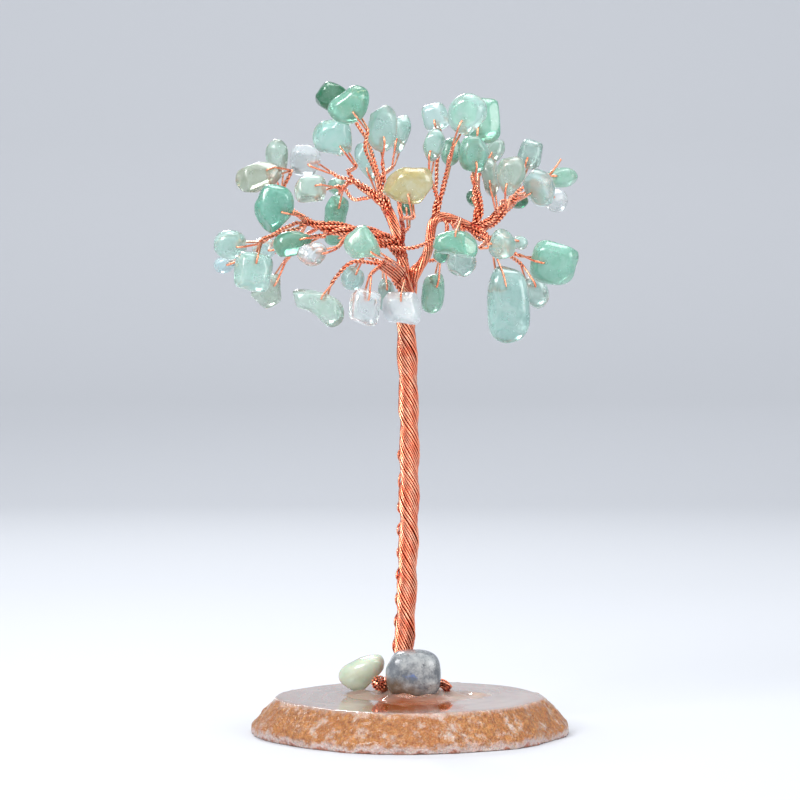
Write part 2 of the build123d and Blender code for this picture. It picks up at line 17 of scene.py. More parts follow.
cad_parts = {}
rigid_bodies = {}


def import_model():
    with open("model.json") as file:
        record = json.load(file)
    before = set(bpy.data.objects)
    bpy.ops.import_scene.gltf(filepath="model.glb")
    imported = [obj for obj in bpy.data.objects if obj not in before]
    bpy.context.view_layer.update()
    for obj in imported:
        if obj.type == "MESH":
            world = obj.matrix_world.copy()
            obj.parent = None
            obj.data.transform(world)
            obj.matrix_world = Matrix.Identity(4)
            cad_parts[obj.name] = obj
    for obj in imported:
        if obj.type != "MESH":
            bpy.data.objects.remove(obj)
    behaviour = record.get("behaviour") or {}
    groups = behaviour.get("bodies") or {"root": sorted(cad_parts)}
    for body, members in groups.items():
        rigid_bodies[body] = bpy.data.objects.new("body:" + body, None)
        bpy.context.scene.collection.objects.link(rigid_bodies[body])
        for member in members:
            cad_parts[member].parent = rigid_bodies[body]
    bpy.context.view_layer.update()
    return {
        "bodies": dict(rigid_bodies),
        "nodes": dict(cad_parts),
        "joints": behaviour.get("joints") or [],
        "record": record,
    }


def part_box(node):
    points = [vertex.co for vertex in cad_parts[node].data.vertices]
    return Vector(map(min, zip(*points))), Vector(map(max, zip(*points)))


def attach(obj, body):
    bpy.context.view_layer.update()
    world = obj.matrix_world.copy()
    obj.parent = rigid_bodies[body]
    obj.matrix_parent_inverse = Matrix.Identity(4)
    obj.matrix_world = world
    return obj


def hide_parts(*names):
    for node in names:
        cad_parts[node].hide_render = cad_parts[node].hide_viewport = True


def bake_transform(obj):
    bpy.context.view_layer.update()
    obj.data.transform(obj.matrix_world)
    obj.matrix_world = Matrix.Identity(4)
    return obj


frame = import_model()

MM = 0.001
bpy.ops.object.select_all(action="DESELECT")

# %% [markdown]
# ## Reading the frame
# A node of the frame is a mesh of loose triangles, and one node may hold several solids.
# Merging equal points by hand in numpy and giving joined points the same label splits a node into its
# solids, in the order in which they were packed. Edit mode's Separate would do it too, but it does not
# keep that order, and the order tells which chip is which.

# %% Solids of a node
MERGE_STEP = 1e-6


def merged_mesh(node):
    """Points and triangles of a CAD node, with equal points merged."""
    mesh = frame["nodes"][node].data
    mesh.calc_loop_triangles()
    places = np.empty(len(mesh.vertices) * 3)
    mesh.vertices.foreach_get("co", places)
    places = places.reshape(-1, 3)
    corners = np.empty(len(mesh.loop_triangles) * 3, np.int32)
    mesh.loop_triangles.foreach_get("vertices", corners)
    keys = np.round(places / MERGE_STEP).astype(np.int64)
    first, inverse = np.unique(keys, axis=0, return_index=True, return_inverse=True)[1:]
    order = np.argsort(first)
    rank = np.empty_like(order)
    rank[order] = np.arange(len(order))
    triangles = rank[inverse.reshape(-1)][corners.reshape(-1, 3)]
    whole = (triangles != np.roll(triangles, 1, axis=1)).all(axis=1)
    return places[first[order]], triangles[whole]


def solids_of(node):
    """The separate solids of a CAD node, in packed order: points and triangles of each."""
    points, triangles = merged_mesh(node)
    label = np.arange(len(points))
    settled = False
    while not settled:
        lower = label.copy()
        lowest = label[triangles].min(axis=1)
        for corner in range(3):
            np.minimum.at(lower, triangles[:, corner], lowest)
        lower = lower[lower]
        settled = (lower == label).all()
        label = lower
    solids = []
    for name in np.unique(label[triangles[:, 0]]):
        members = np.flatnonzero(label == name)
        place = np.full(len(points), -1)
        place[members] = np.arange(len(members))
        solids.append((points[members], place[triangles[label[triangles[:, 0]] == name]]))
    return solids


print("solids in root_bundles:", len(solids_of("root_bundles")))

# %% [markdown]
# ## Middle lines of the rods
# The frame's stems, twigs and roots are round rods. Real ones are twisted wire, so each rod's middle
# line is needed. It could be typed in again, but then it would not follow a change of the frame. Here the
# walking distance from one end is measured over the rod's own mesh. Each triangle steps inwards by
# the rod's radius along its normal, and the mean of those at one distance lies on the middle line.

# %% Walking distance over a mesh
BIN_LENGTH = 0.4 * MM


def neighbours_of(count, triangles):
    """For each point, the points that share a triangle with it."""
    links = [[] for _ in range(count)]
    for a, b, c in triangles.tolist():
        links[a] += (b, c)
        links[b] += (a, c)
        links[c] += (a, b)
    return links


def walking_distance(points, links, start):
    """Shortest way along the mesh from one point to every other."""
    places = points.tolist()
    reach = [math.inf] * len(places)
    reach[start] = 0.0
    heap = [(0.0, start)]
    while heap:
        so_far, here = heapq.heappop(heap)
        if so_far > reach[here]:
            continue
        for there in links[here]:
            longer = so_far + math.dist(places[here], places[there])
            if longer < reach[there]:
                reach[there] = longer
                heapq.heappush(heap, (longer, there))
    return np.array(reach)


def rod_radius(points, triangles):
    """Radius of a round rod, from its volume and its surface: area = 2 volume / r + 2 pi r r."""
    a, b, c = (points[triangles[:, corner]] for corner in range(3))
    flat = np.cross(b - a, c - a)
    area = np.linalg.norm(flat, axis=1).sum() / 2
    volume = abs(np.einsum("ij,ij->i", a - points.mean(axis=0), flat).sum()) / 6
    radius = 2 * volume / area
    for _ in range(20):
        radius = 2 * volume / (area - 2 * math.pi * radius**2)
    return radius


def axis_points(points, triangles, radius):
    """For each triangle of a round wall, the point of the middle line under it."""
    a, b, c = (points[triangles[:, corner]] for corner in range(3))
    flat = np.cross(b - a, c - a)
    flat /= np.maximum(np.linalg.norm(flat, axis=1, keepdims=True), 1e-30)
    return (a + b + c) / 3 - flat * radius


def bin_means(places, lengths):
    """Mean place in each filled bin of length, in order."""
    bins = np.floor(lengths / BIN_LENGTH).astype(int)
    return [places[bins == each].mean(axis=0) for each in np.unique(bins)]


def rod_line(points, triangles, start_place):
    """Middle line of a plain rod, from the end that lies nearest to the given place."""
    links = neighbours_of(len(points), triangles)
    start = int(np.linalg.norm(points - start_place, axis=1).argmin())
    reach = walking_distance(points, links, start)
    radius = rod_radius(points, triangles)
    middles = axis_points(points, triangles, radius)
    return np.array(bin_means(middles, reach[triangles].mean(axis=1))), radius


# %% [markdown]
# ## Smooth lines and twisted wire
# Copper wire bends softly, so a line through the measured points is drawn as a Catmull-Rom curve and
# resampled at an even spacing. A frame of two sideways directions travels along it without turning, and
# a wire that winds round the line is an offset in that frame, whose angle grows with the length.

# %% Smooth lines
SAME_PLACE = 0.05 * MM
CURVE_STEPS = 12


def evenly(points, spacing):
    """The same line with points at an even spacing."""
    steps = np.linalg.norm(np.diff(points, axis=0), axis=1)
    along = np.concatenate([[0.0], np.cumsum(steps)])
    count = max(int(round(along[-1] / spacing)), 2)
    wanted = np.linspace(0.0, along[-1], count + 1)
    return np.stack([np.interp(wanted, along, points[:, axis]) for axis in range(3)], axis=1)


def smooth_line(points, spacing, softening=4):
    """Catmull-Rom curve through the points, evenly spaced and softened a little."""
    points = np.asarray(points, float)
    apart = np.linalg.norm(np.diff(points, axis=0), axis=1) > SAME_PLACE
    points = points[np.concatenate([[True], apart])]
    padded = np.vstack([2 * points[0] - points[1], points, 2 * points[-1] - points[-2]])
    curve = []
    for before, here, there, after in zip(padded, padded[1:], padded[2:], padded[3:]):
        share = np.linspace(0, 1, CURVE_STEPS, endpoint=False)[:, None]
        curve.append(
            0.5
            * (
                2 * here
                + (there - before) * share
                + (2 * before - 5 * here + 4 * there - after) * share**2
                + (3 * here - before - 3 * there + after) * share**3
            )
        )
    line = evenly(np.vstack([*curve, points[-1:]]), spacing)
    for _ in range(softening):
        line[1:-1] = 0.25 * line[:-2] + 0.5 * line[1:-1] + 0.25 * line[2:]
    return line


def along_line(line):
    """Length from the start at each point of a line."""
    return np.concatenate([[0.0], np.cumsum(np.linalg.norm(np.diff(line, axis=0), axis=1))])


def side_ways(line):
    """Two directions across a line at each of its points, carried along without turning."""
    ways = np.gradient(line, axis=0)
    ways /= np.linalg.norm(ways, axis=1, keepdims=True)
    first = np.cross(ways[0], [0.0, 1.0, 0.0])
    if np.linalg.norm(first) < 0.1:
        first = np.cross(ways[0], [1.0, 0.0, 0.0])
    sides = [first / np.linalg.norm(first)]
    for way in ways[1:]:
        side = sides[-1] - way * np.dot(sides[-1], way)
        sides.append(side / np.linalg.norm(side))
    sides = np.array(sides)
    return sides, np.cross(ways, sides)


def wound(line, radius, turns):
    """A wire's line that keeps a radius from the middle line, at an angle given for each point."""
    one, two = side_ways(line)
    radius = np.broadcast_to(radius, len(line))[:, None]
    return line + radius * (np.cos(turns)[:, None] * one + np.sin(turns)[:, None] * two)


# %% Wire from lines
WIRE_RADIUS = 0.21 * MM
wire_courses = []
wire_pieces = []


def tubes(name, lines, radius, sides, swell=None):
    """One mesh of round tubes along the given lines, made as a bevelled curve and converted."""
    bpy.ops.object.select_all(action="DESELECT")
    curve = bpy.data.curves.new(name, "CURVE")
    curve.dimensions = "3D"
    curve.bevel_depth = radius
    curve.bevel_resolution = (sides - 4) // 2
    curve.use_fill_caps = True
    for line in lines:
        spline = curve.splines.new("POLY")
        spline.points.add(len(line) - 1)
        spline.points.foreach_set("co", np.c_[line, np.ones(len(line))].ravel())
        if swell is not None:
            spline.points.foreach_set("radius", swell)
    made = bpy.data.objects.new(name, curve)
    bpy.context.scene.collection.objects.link(made)
    made.select_set(True)
    bpy.context.view_layer.objects.active = made
    bpy.ops.object.convert(target="MESH")
    bpy.ops.object.mode_set(mode="EDIT")
    bpy.ops.mesh.select_all(action="SELECT")
    bpy.ops.mesh.normals_make_consistent(inside=False)
    bpy.ops.object.mode_set(mode="OBJECT")
    bpy.ops.object.shade_smooth()
    return bpy.context.view_layer.objects.active


def wire_piece(name, lines, sides=6):
    """One piece of copper wires along the given lines."""
    wires = tubes(name, lines, WIRE_RADIUS, sides)
    wire_courses.extend(lines)
    wire_pieces.append(wires)
    print(name, len(lines), "wires,", len(wires.data.polygons), "faces")
    return wires


# %% [markdown]
# ## Finishes
# Every finish is a small node tree round one Principled shader. Patterns read Object coordinates, which
# here are the real places in metres, so a scale of 1000 gives grains of about a millimetre.

# %% Helpers for finishes
def linear(hex_colour):
    """Linear colour from a hexadecimal one."""
    parts = [int(hex_colour[place : place + 2], 16) / 255 for place in (1, 3, 5)]
    return [part / 12.92 if part <= 0.04045 else ((part + 0.055) / 1.055) ** 2.4 for part in parts] + [1.0]


class Finish:
    """A material with one Principled shader, and short words for its nodes."""

    def __init__(self, name, **sockets):
        self.material = bpy.data.materials.new(name)
        self.material.use_nodes = True
        self.tree = self.material.node_tree
        self.shader = self.tree.nodes["Principled BSDF"]
        for socket, value in sockets.items():
            self.shader.inputs[socket.replace("_", " ")].default_value = value
        self.place = self.node("ShaderNodeTexCoord").outputs["Object"]

    def node(self, kind, **settings):
        made = self.tree.nodes.new(kind)
        for setting, value in settings.items():
            setattr(made, setting, value)
        return made

    def feed(self, socket, source):
        """Links a source, or sets a constant."""
        if isinstance(source, bpy.types.NodeSocket):
            self.tree.links.new(source, socket)
        else:
            socket.default_value = source

    def cloud(self, scale, detail=3.0, roughness=0.5, distortion=0.0):
        made = self.node("ShaderNodeTexNoise")
        self.feed(made.inputs["Vector"], self.place)
        made.inputs["Scale"].default_value = scale
        made.inputs["Detail"].default_value = detail
        made.inputs["Roughness"].default_value = roughness
        made.inputs["Distortion"].default_value = distortion
        return made.outputs["Fac"]

    def grains(self, scale, output="Distance", feature="F1"):
        made = self.node("ShaderNodeTexVoronoi", feature=feature)
        self.feed(made.inputs["Vector"], self.place)
        made.inputs["Scale"].default_value = scale
        return made.outputs[output]

    def ranged(self, value, low, high, to_low=0.0, to_high=1.0):
        made = self.node("ShaderNodeMapRange")
        self.feed(made.inputs["Value"], value)
        for name, number in [("From Min", low), ("From Max", high), ("To Min", to_low), ("To Max", to_high)]:
            made.inputs[name].default_value = number
        return made.outputs["Result"]

    def mixed(self, share, one, two, blend="MIX"):
        made = self.node("ShaderNodeMix", data_type="RGBA", blend_type=blend)
        self.feed(made.inputs["Factor"], share)
        colours = [socket for socket in made.inputs if socket.type == "RGBA"]
        self.feed(colours[0], one)
        self.feed(colours[1], two)
        return [socket for socket in made.outputs if socket.type == "RGBA"][0]

    def sums(self, operation, one, two):
        made = self.node("ShaderNodeMath", operation=operation)
        self.feed(made.inputs[0], one)
        self.feed(made.inputs[1], two)
        return made.outputs[0]

    def layered(self, shade, *layers):
        """Colours laid over a shade one after the other, each with its own share."""
        for share, colour in layers:
            shade = self.mixed(share, shade, linear(colour))
        return shade

    def height(self):
        """Height over the floor."""
        made = self.node("ShaderNodeSeparateXYZ")
        self.feed(made.inputs[0], self.place)
        return made.outputs["Z"]

    def attribute(self, name, output="Color"):
        return self.node("ShaderNodeAttribute", attribute_name=name).outputs[output]

    def bump(self, height, strength, distance):
        made = self.node("ShaderNodeBump")
        self.feed(made.inputs["Height"], height)
        made.inputs["Strength"].default_value = strength
        made.inputs["Distance"].default_value = distance
        self.feed(self.shader.inputs["Normal"], made.outputs["Normal"])

    def set(self, socket, source):
        self.feed(self.shader.inputs[socket], source)


def dressed(piece, finish):
    """Gives a piece its finish."""
    piece.data.materials.clear()
    piece.data.materials.append(finish.material)
    return piece


# %% Copper
copper = Finish("bright_copper", Metallic=1.0, Coat_Weight=0.5, Coat_Roughness=0.1)
warm_share = copper.ranged(copper.cloud(420.0), 0.35, 0.68)
wire_shade = copper.mixed(warm_share, linear("#FF9068"), linear("#FFB896"))
# Painted shade: the copper turns deep red where another wire lies close, for the shade and red mirroring
# between touching wires.
gap_shade_share = copper.attribute("gap_shade", "Fac")
copper.set("Base Color", copper.mixed(gap_shade_share, wire_shade, linear("#A2321C")))
copper.set("Roughness", copper.ranged(copper.cloud(1500.0), 0.3, 0.7, 0.19, 0.3))
# Painted shade: a darkened copy of the copper for the inner wires, which are only ever seen in shade.
painted_shade_copper = Finish("painted_shade_copper", Metallic=1.0, Roughness=0.5)
core_share = painted_shade_copper.ranged(painted_shade_copper.cloud(300.0), 0.3, 0.7)
painted_shade_copper.set("Base Color", painted_shade_copper.mixed(core_share, linear("#6E1E12"), linear("#96331F")))
print("copper finishes made")

# %% [markdown]
# ## Wires of the branches
# On the real tree one wire goes through each chip, is folded back and twisted with itself. These twisted
# pairs lie side by side as the stem, and leave it one after the other. So each twig of the frame is
# followed from its chip back to its stem, and on along the stem to the fork. The pair that leaves last
# lies in the middle of the bundle, and the others lie round it in a spiral, as seeds do in a flower head.

# %% Middle lines of a twig and of its loop
TWIG_RADIUS = 0.42 * MM
LOOP_WINDOW = 2.4 * MM
LEG_CLEARANCE = 1.0 * MM


def farthest_pair(places):
    """Two places that lie about as far apart as any two."""
    one = places[np.linalg.norm(places - places.mean(axis=0), axis=1).argmax()]
    two = places[np.linalg.norm(places - one, axis=1).argmax()]
    one = places[np.linalg.norm(places - two, axis=1).argmax()]
    return one, two


def twig_lines(points, triangles, stem_line):
    """Lines of a twig: its shank from stem to tip, and the two legs of the loop from tip to hole."""
    links = neighbours_of(len(points), triangles)
    gaps = np.linalg.norm(points[:, None] - stem_line[None, ::4], axis=2).min(axis=1)
    reach = walking_distance(points, links, int(gaps.argmin()))
    reach[~np.isfinite(reach)] = 0.0
    last = points[reach > reach.max() - LOOP_WINDOW]
    one, two = farthest_pair(last)
    nearer = np.linalg.norm(last - one, axis=1) < np.linalg.norm(last - two, axis=1)
    one, two = last[nearer].mean(axis=0), last[~nearer].mean(axis=0)
    middle = (one + two) / 2
    hole_way = (one - two) / np.linalg.norm(one - two)
    offset = (points - middle) @ hole_way
    fork_reach = reach[np.abs(offset) < LEG_CLEARANCE].max()
    at_tip = (reach > fork_reach - LOOP_WINDOW) & (reach <= fork_reach)
    tip = points[at_tip].mean(axis=0)
    corners = reach[triangles]
    on_shank = corners.max(axis=1) < reach[at_tip].min() + BIN_LENGTH
    shank = bin_means(axis_points(points, triangles[on_shank], TWIG_RADIUS), corners[on_shank].mean(axis=1))
    on_loop = corners.min(axis=1) > fork_reach
    loop = axis_points(points, triangles[on_loop], WIRE_RADIUS)
    loop_reach = corners[on_loop].mean(axis=1)
    side = (loop - middle) @ hole_way
    legs = [bin_means(loop[chosen], loop_reach[chosen]) for chosen in (side > 0, side < 0)]
    return np.array([*shank, tip]), legs, hole_way


left_stem = rod_line(*solids_of("left_branch_stem")[0], np.array(frame["joints"][0]["pos_m"]))
print("left stem: points", len(left_stem[0]), "radius in mm", round(left_stem[1] / MM, 2))

# %% The twisted pair of one twig
PAIR_PITCH = 1.7 * MM
PAIR_SPACING = 0.17 * MM
PAIR_SOFTENING = 24
LOOP_TRIM = 4
ROUTE_STEP = 8
BUNDLE_RANKS = 2.4
BUNDLE_LAY = 26.0 * MM
BUNDLE_FULLNESS = 0.82
BUNDLE_PHASE = 0.7
LEAVE_BEND = 1.5 * MM
SWELL_LENGTH = 11.0 * MM
SWELL_START = 0.5
golden_turn = math.pi * (3 - math.sqrt(5))


def pair_wire(shank, legs, hole_way, stem_part):
    """One folded wire: along the stem, out along the twig, through the chip and all the way back."""
    middle_line = smooth_line(np.vstack([stem_part, shank[1:]]), PAIR_SPACING, PAIR_SOFTENING)
    along = along_line(middle_line)
    one, two = side_ways(middle_line)
    end_turn = math.atan2(np.dot(hole_way, two[-1]), np.dot(hole_way, one[-1]))
    turns = end_turn - 2 * math.pi * (along[-1] - along) / PAIR_PITCH
    near, far = (wound(middle_line, WIRE_RADIUS, turns + half) for half in (0.0, math.pi))
    loop_places = [near[-LOOP_TRIM], *legs[0], *legs[1][::-1], far[-LOOP_TRIM]]
    loop = smooth_line(loop_places, PAIR_SPACING)
    return np.vstack([near[:-LOOP_TRIM], loop, far[:-LOOP_TRIM][::-1]])


def stem_run(stem_line, place, rank):
    """Way of a pair along its stem, from before the fork to where it leaves for the given place."""
    along = along_line(stem_line)
    leave = along[np.linalg.norm(stem_line - place, axis=1).argmin()]
    keep = along <= max(leave - LEAVE_BEND, along[2])
    radius = BUNDLE_FULLNESS * 2 * TWIG_RADIUS * math.sqrt(rank / BUNDLE_RANKS)
    turns = BUNDLE_PHASE + rank * golden_turn - 2 * math.pi * along / BUNDLE_LAY
    swell = np.clip(SWELL_START + along / SWELL_LENGTH, 0, 1)
    return wound(stem_line, radius * swell, turns)[keep][::ROUTE_STEP]


def leave_length(stem_line, shank):
    """How far along the stem a twig leaves it."""
    return along_line(stem_line)[np.linalg.norm(stem_line - shank[0], axis=1).argmin()]


# %% Branch wires
LEAD_IN = 3.4 * MM
LEAD_BEND = 0.4
branch_names = [body for body in frame["bodies"] if body != "stand"]
joint_places = {joint["child"]: np.array(joint["pos_m"]) for joint in frame["joints"]}
head = joint_places["lower_left_branch"]
leader_knot = joint_places["left_branch"]
upper_left_knot = joint_places["upper_left_branch"]
inner_right_knot = joint_places["inner_right_branch"]
right_knot = joint_places["right_branch"]
came_from = {
    "left_branch": head,
    "centre_branch": head,
    "upper_left_branch": leader_knot,
    "top_branch": leader_knot,
    "lower_left_branch": head - [0, 0, LEAD_IN],
    "inner_right_branch": head,
    "right_branch": inner_right_knot,
    "upper_right_branch": inner_right_knot,
    "lower_right_branch": inner_right_knot,
}


def stem_course(branch):
    """Line of a branch's bundle: it starts a little before the fork, where the limb holds it."""
    knot = joint_places[branch]
    rod = rod_line(*solids_of(f"{branch}_stem")[0], knot)[0]
    back = came_from[branch] - knot
    back = back / np.linalg.norm(back)
    lead = [knot + LEAD_IN * back, knot + LEAD_BEND * LEAD_IN * back]
    return smooth_line(np.vstack([*lead, rod]), PAIR_SPACING)


stem_lines = {branch: stem_course(branch) for branch in branch_names}
branch_lines = {}
for branch in branch_names:
    stem_line = stem_lines[branch]
    twigs = [twig_lines(*solid, stem_line) for solid in solids_of(f"{branch}_twigs")]
    twigs.sort(key=lambda twig: -leave_length(stem_line, twig[0]))
    branch_lines[branch] = [
        pair_wire(shank, legs, hole_way, stem_run(stem_line, shank[0], rank))
        for rank, (shank, legs, hole_way) in enumerate(twigs)
    ]

# %% [markdown]
# Two small things are wires too. The middle branch is a column of three more wires, and on the right one
# wire end was left standing free when it was cut.

# %% The column and the free end
COLUMN_RING = 0.27 * MM
COLUMN_LAY = 7.0 * MM
FREE_END_STEPS = [(-4.0, -0.2, -0.6), (-2.4, -1.4, 0.5), (-1.2, -1.7, 2.0), (-0.2, -1.8, 3.5)]
COLUMN_TOP = np.array([-0.5, 0.2, 3.4]) * MM
column_line = stem_lines["centre_branch"]
column_line = smooth_line(np.vstack([column_line[::ROUTE_STEP], column_line[-1] + COLUMN_TOP]), PAIR_SPACING)
column_turns = -2 * math.pi * along_line(column_line) / COLUMN_LAY
for third in range(3):
    column_wire = wound(column_line, COLUMN_RING, column_turns + third * 2 * math.pi / 3)
    branch_lines["centre_branch"].append(column_wire)
end_chip = solids_of("right_branch_green_chips")[0][0].mean(axis=0)
free_end = [end_chip + np.array(step) * MM for step in FREE_END_STEPS]
branch_lines["right_branch"].append(smooth_line(free_end, PAIR_SPACING))
for branch, lines in branch_lines.items():
    wires = wire_piece(f"{branch}_wires", lines)
    dressed(wires, copper)
    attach(wires, branch)
    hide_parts(f"{branch}_stem", f"{branch}_twigs")

# %% [markdown]
# ## Trunk, limbs and roots
# All the wires of the tree run down through the trunk. Each one is wound round the trunk's middle line to
# the left, and at the top it goes on along a limb or in the front sheet, at the foot along one of five roots.
# A straight rope would be quicker, but the real trunk is wound by hand: wires lie a little higher or
# lower, and some cross their neighbours, so the radius wavers with a slow noise.

# %% Middle lines of the trunk, the limbs and the roots
LIMB_OVERRUN = 3.0 * MM
RIGHT_BOW = np.array([1.2, 0.0, -0.5]) * MM


def past_knot(branch, knot):
    """A place on a branch's stem a little past its knot, where the limb's wires end."""
    line = stem_lines[branch]
    return line[int(np.linalg.norm(line - knot, axis=1).argmin()) + int(LIMB_OVERRUN / PAIR_SPACING)]


core_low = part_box("trunk_core")[0]
trunk_line, core_radius = rod_line(*solids_of("trunk_core")[0], np.array(core_low))
right_bow = 0.5 * (head + inner_right_knot) + RIGHT_BOW
limb_lines = {
    "leader": np.array([head, leader_knot, upper_left_knot, past_knot("upper_left_branch", upper_left_knot)]),
    "right": np.array([head, right_bow, inner_right_knot, right_knot, past_knot("right_branch", right_knot)]),
}
root_lines = [rod_line(*solid, np.array(trunk_line[0]))[0] for solid in solids_of("root_bundles")]
print("trunk points", len(trunk_line), "roots", len(root_lines))

# %% Trunk wires
TRUNK_WIRES = 20
TRUNK_RING = 1.66 * MM
TRUNK_LAY = 18.0 * MM
TRUNK_SPACING = 0.3 * MM
LOBE_SHARE = 0.1
TURN_WAVER, TURN_WAVER_SIZE = 0.17, 11 * MM
RING_WAVER, RING_WAVER_SIZE = 0.16 * MM, 7 * MM
FAN_FROM, FAN_TO, RIGHT_TO = -150, -30, 90
trunk_middle = smooth_line(np.vstack([trunk_line, head]), TRUNK_SPACING)
trunk_along = along_line(trunk_middle)


def wavering(place, seed, size):
    """Slow noise between -1 and 1 along a length."""
    return np.array([noise.noise((step / size, seed * 7.3, 0.5)) for step in place])


def trunk_wire(first_turn, seed):
    """Line of one wire in the trunk's outer layer, and its angle round the trunk."""
    turns = first_turn - 2 * math.pi * trunk_along / TRUNK_LAY
    turns = turns + TURN_WAVER * wavering(trunk_along, seed + 40, TURN_WAVER_SIZE)
    ring = TRUNK_RING * (1 + LOBE_SHARE * math.cos(2 * first_turn))
    ring = ring + RING_WAVER * wavering(trunk_along, seed, RING_WAVER_SIZE)
    offset = np.stack([np.cos(turns), np.sin(turns), np.zeros_like(turns)], axis=1)
    return trunk_middle + ring[:, None] * offset, turns


def limb_of(top_turn):
    """Which limb a wire joins, from where it stands round the trunk's head. The front looks to -Y."""
    degrees = (math.degrees(top_turn) + 180) % 360 - 180
    if FAN_FROM <= degrees <= FAN_TO:
        return "fan"
    return "right" if FAN_TO < degrees <= RIGHT_TO else "leader"


trunk_courses = [trunk_wire(2 * math.pi * wire / TRUNK_WIRES, wire) for wire in range(TRUNK_WIRES)]
limb_wires = {"fan": [], "right": [], "leader": []}
for wire, (line, turns) in enumerate(trunk_courses):
    limb_wires[limb_of(turns[-1])].append(wire)
print({limb: len(wires) for limb, wires in limb_wires.items()})

# %% [markdown]
# At the foot the wires are bent outwards in bundles and cut off. The two bundles that show beside the grey
# pebble are thicker than the others, so rings of further wires lie round them.

# %% Roots
ROOT_TURN = 1.1
ROOT_TUCK, ROOT_STEP = 5, 6
ROOT_RING = 0.45 * MM
ROOT_OUTER_RINGS = {0: [(0.87 * MM, 9), (1.28 * MM, 13)], 1: [(0.8 * MM, 5)]}
ROOT_LAY = 14.0 * MM
ROOT_CROWDING = [0.25 * MM, 0.25 * MM, 0.5 * MM, 0.5 * MM, 0.5 * MM]
ROOT_TIPS = {0: [(-5.2, 0.6, 9.3), (-5.9, -1.4, 9.7)], 1: [(5.4, 1.6, 9.4), (7.3, -0.2, 8.4)]}
root_use = [0] * len(root_lines)
for root, tips in ROOT_TIPS.items():
    kept = root_lines[root][: len(root_lines[root]) // 2]
    root_lines[root] = np.vstack([kept, np.array(tips) * MM])


def root_wire(root, ring, turn):
    """One wire of a root's bundle, from its tip to the trunk."""
    smooth = smooth_line(root_lines[root], TRUNK_SPACING)
    return wound(smooth, ring, turn - 2 * math.pi * along_line(smooth) / ROOT_LAY)[ROOT_TUCK:][::-ROOT_STEP]


def root_part(wire):
    """The end of a trunk wire along the root that points its way, from its tip to the trunk."""
    turn = trunk_courses[wire][1][0]
    way = np.array([math.cos(turn), math.sin(turn), 0])
    rows = zip(root_lines, root_use, ROOT_CROWDING)
    fits = [np.dot(line[-1] - line[0], way) - crowding * use for line, use, crowding in rows]
    root = int(np.argmax(fits))
    root_use[root] += 1
    return root_wire(root, ROOT_RING, ROOT_TURN * root_use[root])


# The two roots that show also carry the ends of the trunk's inner wires.
inner_ends = [
    smooth_line(root_wire(root, ring, 2 * math.pi * place / count), TRUNK_SPACING)
    for root, rings in ROOT_OUTER_RINGS.items()
    for ring, count in rings
    for place in range(count)
]

# %% Limbs
LIMB_SLOTS = {"leader": 12, "right": 11}
LIMB_RING = {"leader": 0.84 * MM, "right": 0.74 * MM}
LIMB_END_RING = 0.45 * MM
LIMB_GATHER = 5.0 * MM
FOOT_STEPS, HEAD_STEPS, LIMB_STEPS = 8, 12, 11
COURSE_STEP, COURSE_SOFTENING = 5, 8
INNER_STARTS = [-30, -16]


def limb_part(limb, slot):
    """One wire of a limb's ring. It gathers in from the trunk's width, and tucks in at the end."""
    smooth = smooth_line(limb_lines[limb], TRUNK_SPACING)
    along = along_line(smooth)
    wires = limb_wires[limb]
    middle_turn = np.mean(np.unwrap([trunk_courses[wire][1][-1] for wire in wires]))
    turn = middle_turn + math.pi + 2 * math.pi * (slot - (len(wires) - 1) / 2) / LIMB_SLOTS[limb]
    ring = np.interp(
        along,
        [0, LIMB_GATHER, along[-1] - LIMB_GATHER, along[-1]],
        [TRUNK_RING, LIMB_RING[limb], LIMB_RING[limb], LIMB_END_RING],
    )
    return wound(smooth, ring, turn - 2 * math.pi * along / TRUNK_LAY)


trunk_lines = [*inner_ends]
for limb in LIMB_SLOTS:
    order = sorted(limb_wires[limb], key=lambda wire: trunk_courses[wire][1][-1] % (2 * math.pi))
    for slot, wire in enumerate(order):
        line = trunk_courses[wire][0]
        course = [*root_part(wire), *line[FOOT_STEPS:-HEAD_STEPS:COURSE_STEP]]
        course += [*limb_part(limb, slot)[LIMB_STEPS::COURSE_STEP]]
        trunk_lines.append(smooth_line(course, TRUNK_SPACING, COURSE_SOFTENING))
    for slot in range(len(order), LIMB_SLOTS[limb]):
        course = [*trunk_middle[INNER_STARTS], *limb_part(limb, slot)[LIMB_STEPS::COURSE_STEP]]
        trunk_lines.append(smooth_line(course, TRUNK_SPACING, COURSE_SOFTENING))

# %% [markdown]
# Some wires leave the front of the trunk side by side, as a flat sheet that sweeps over to the lower left
# branch. The sheet is cut where it leaves the trunk, and its free part is a piece of its own.

# %% The sheet of wires on the front
FAN_END_SHARE, FAN_TIP_SHARE = 0.9, 0.3
FAN_DROP = 4.5 * MM
FAN_REACH = 9.0 * MM
FAN_SPACING = 0.43 * MM
FAN_FRONT = 1.7 * MM
fan_stem = stem_lines["lower_left_branch"]


def before_stem(x, z, most):
    """A place in front of the stem, at a given x and z in mm."""
    place = np.array([x * MM, 0.0, z * MM])
    beside = fan_stem[np.linalg.norm((fan_stem - place)[:, [0, 2]], axis=1).argmin()]
    place[1] = min(beside[1] - FAN_FRONT, most * MM)
    return place


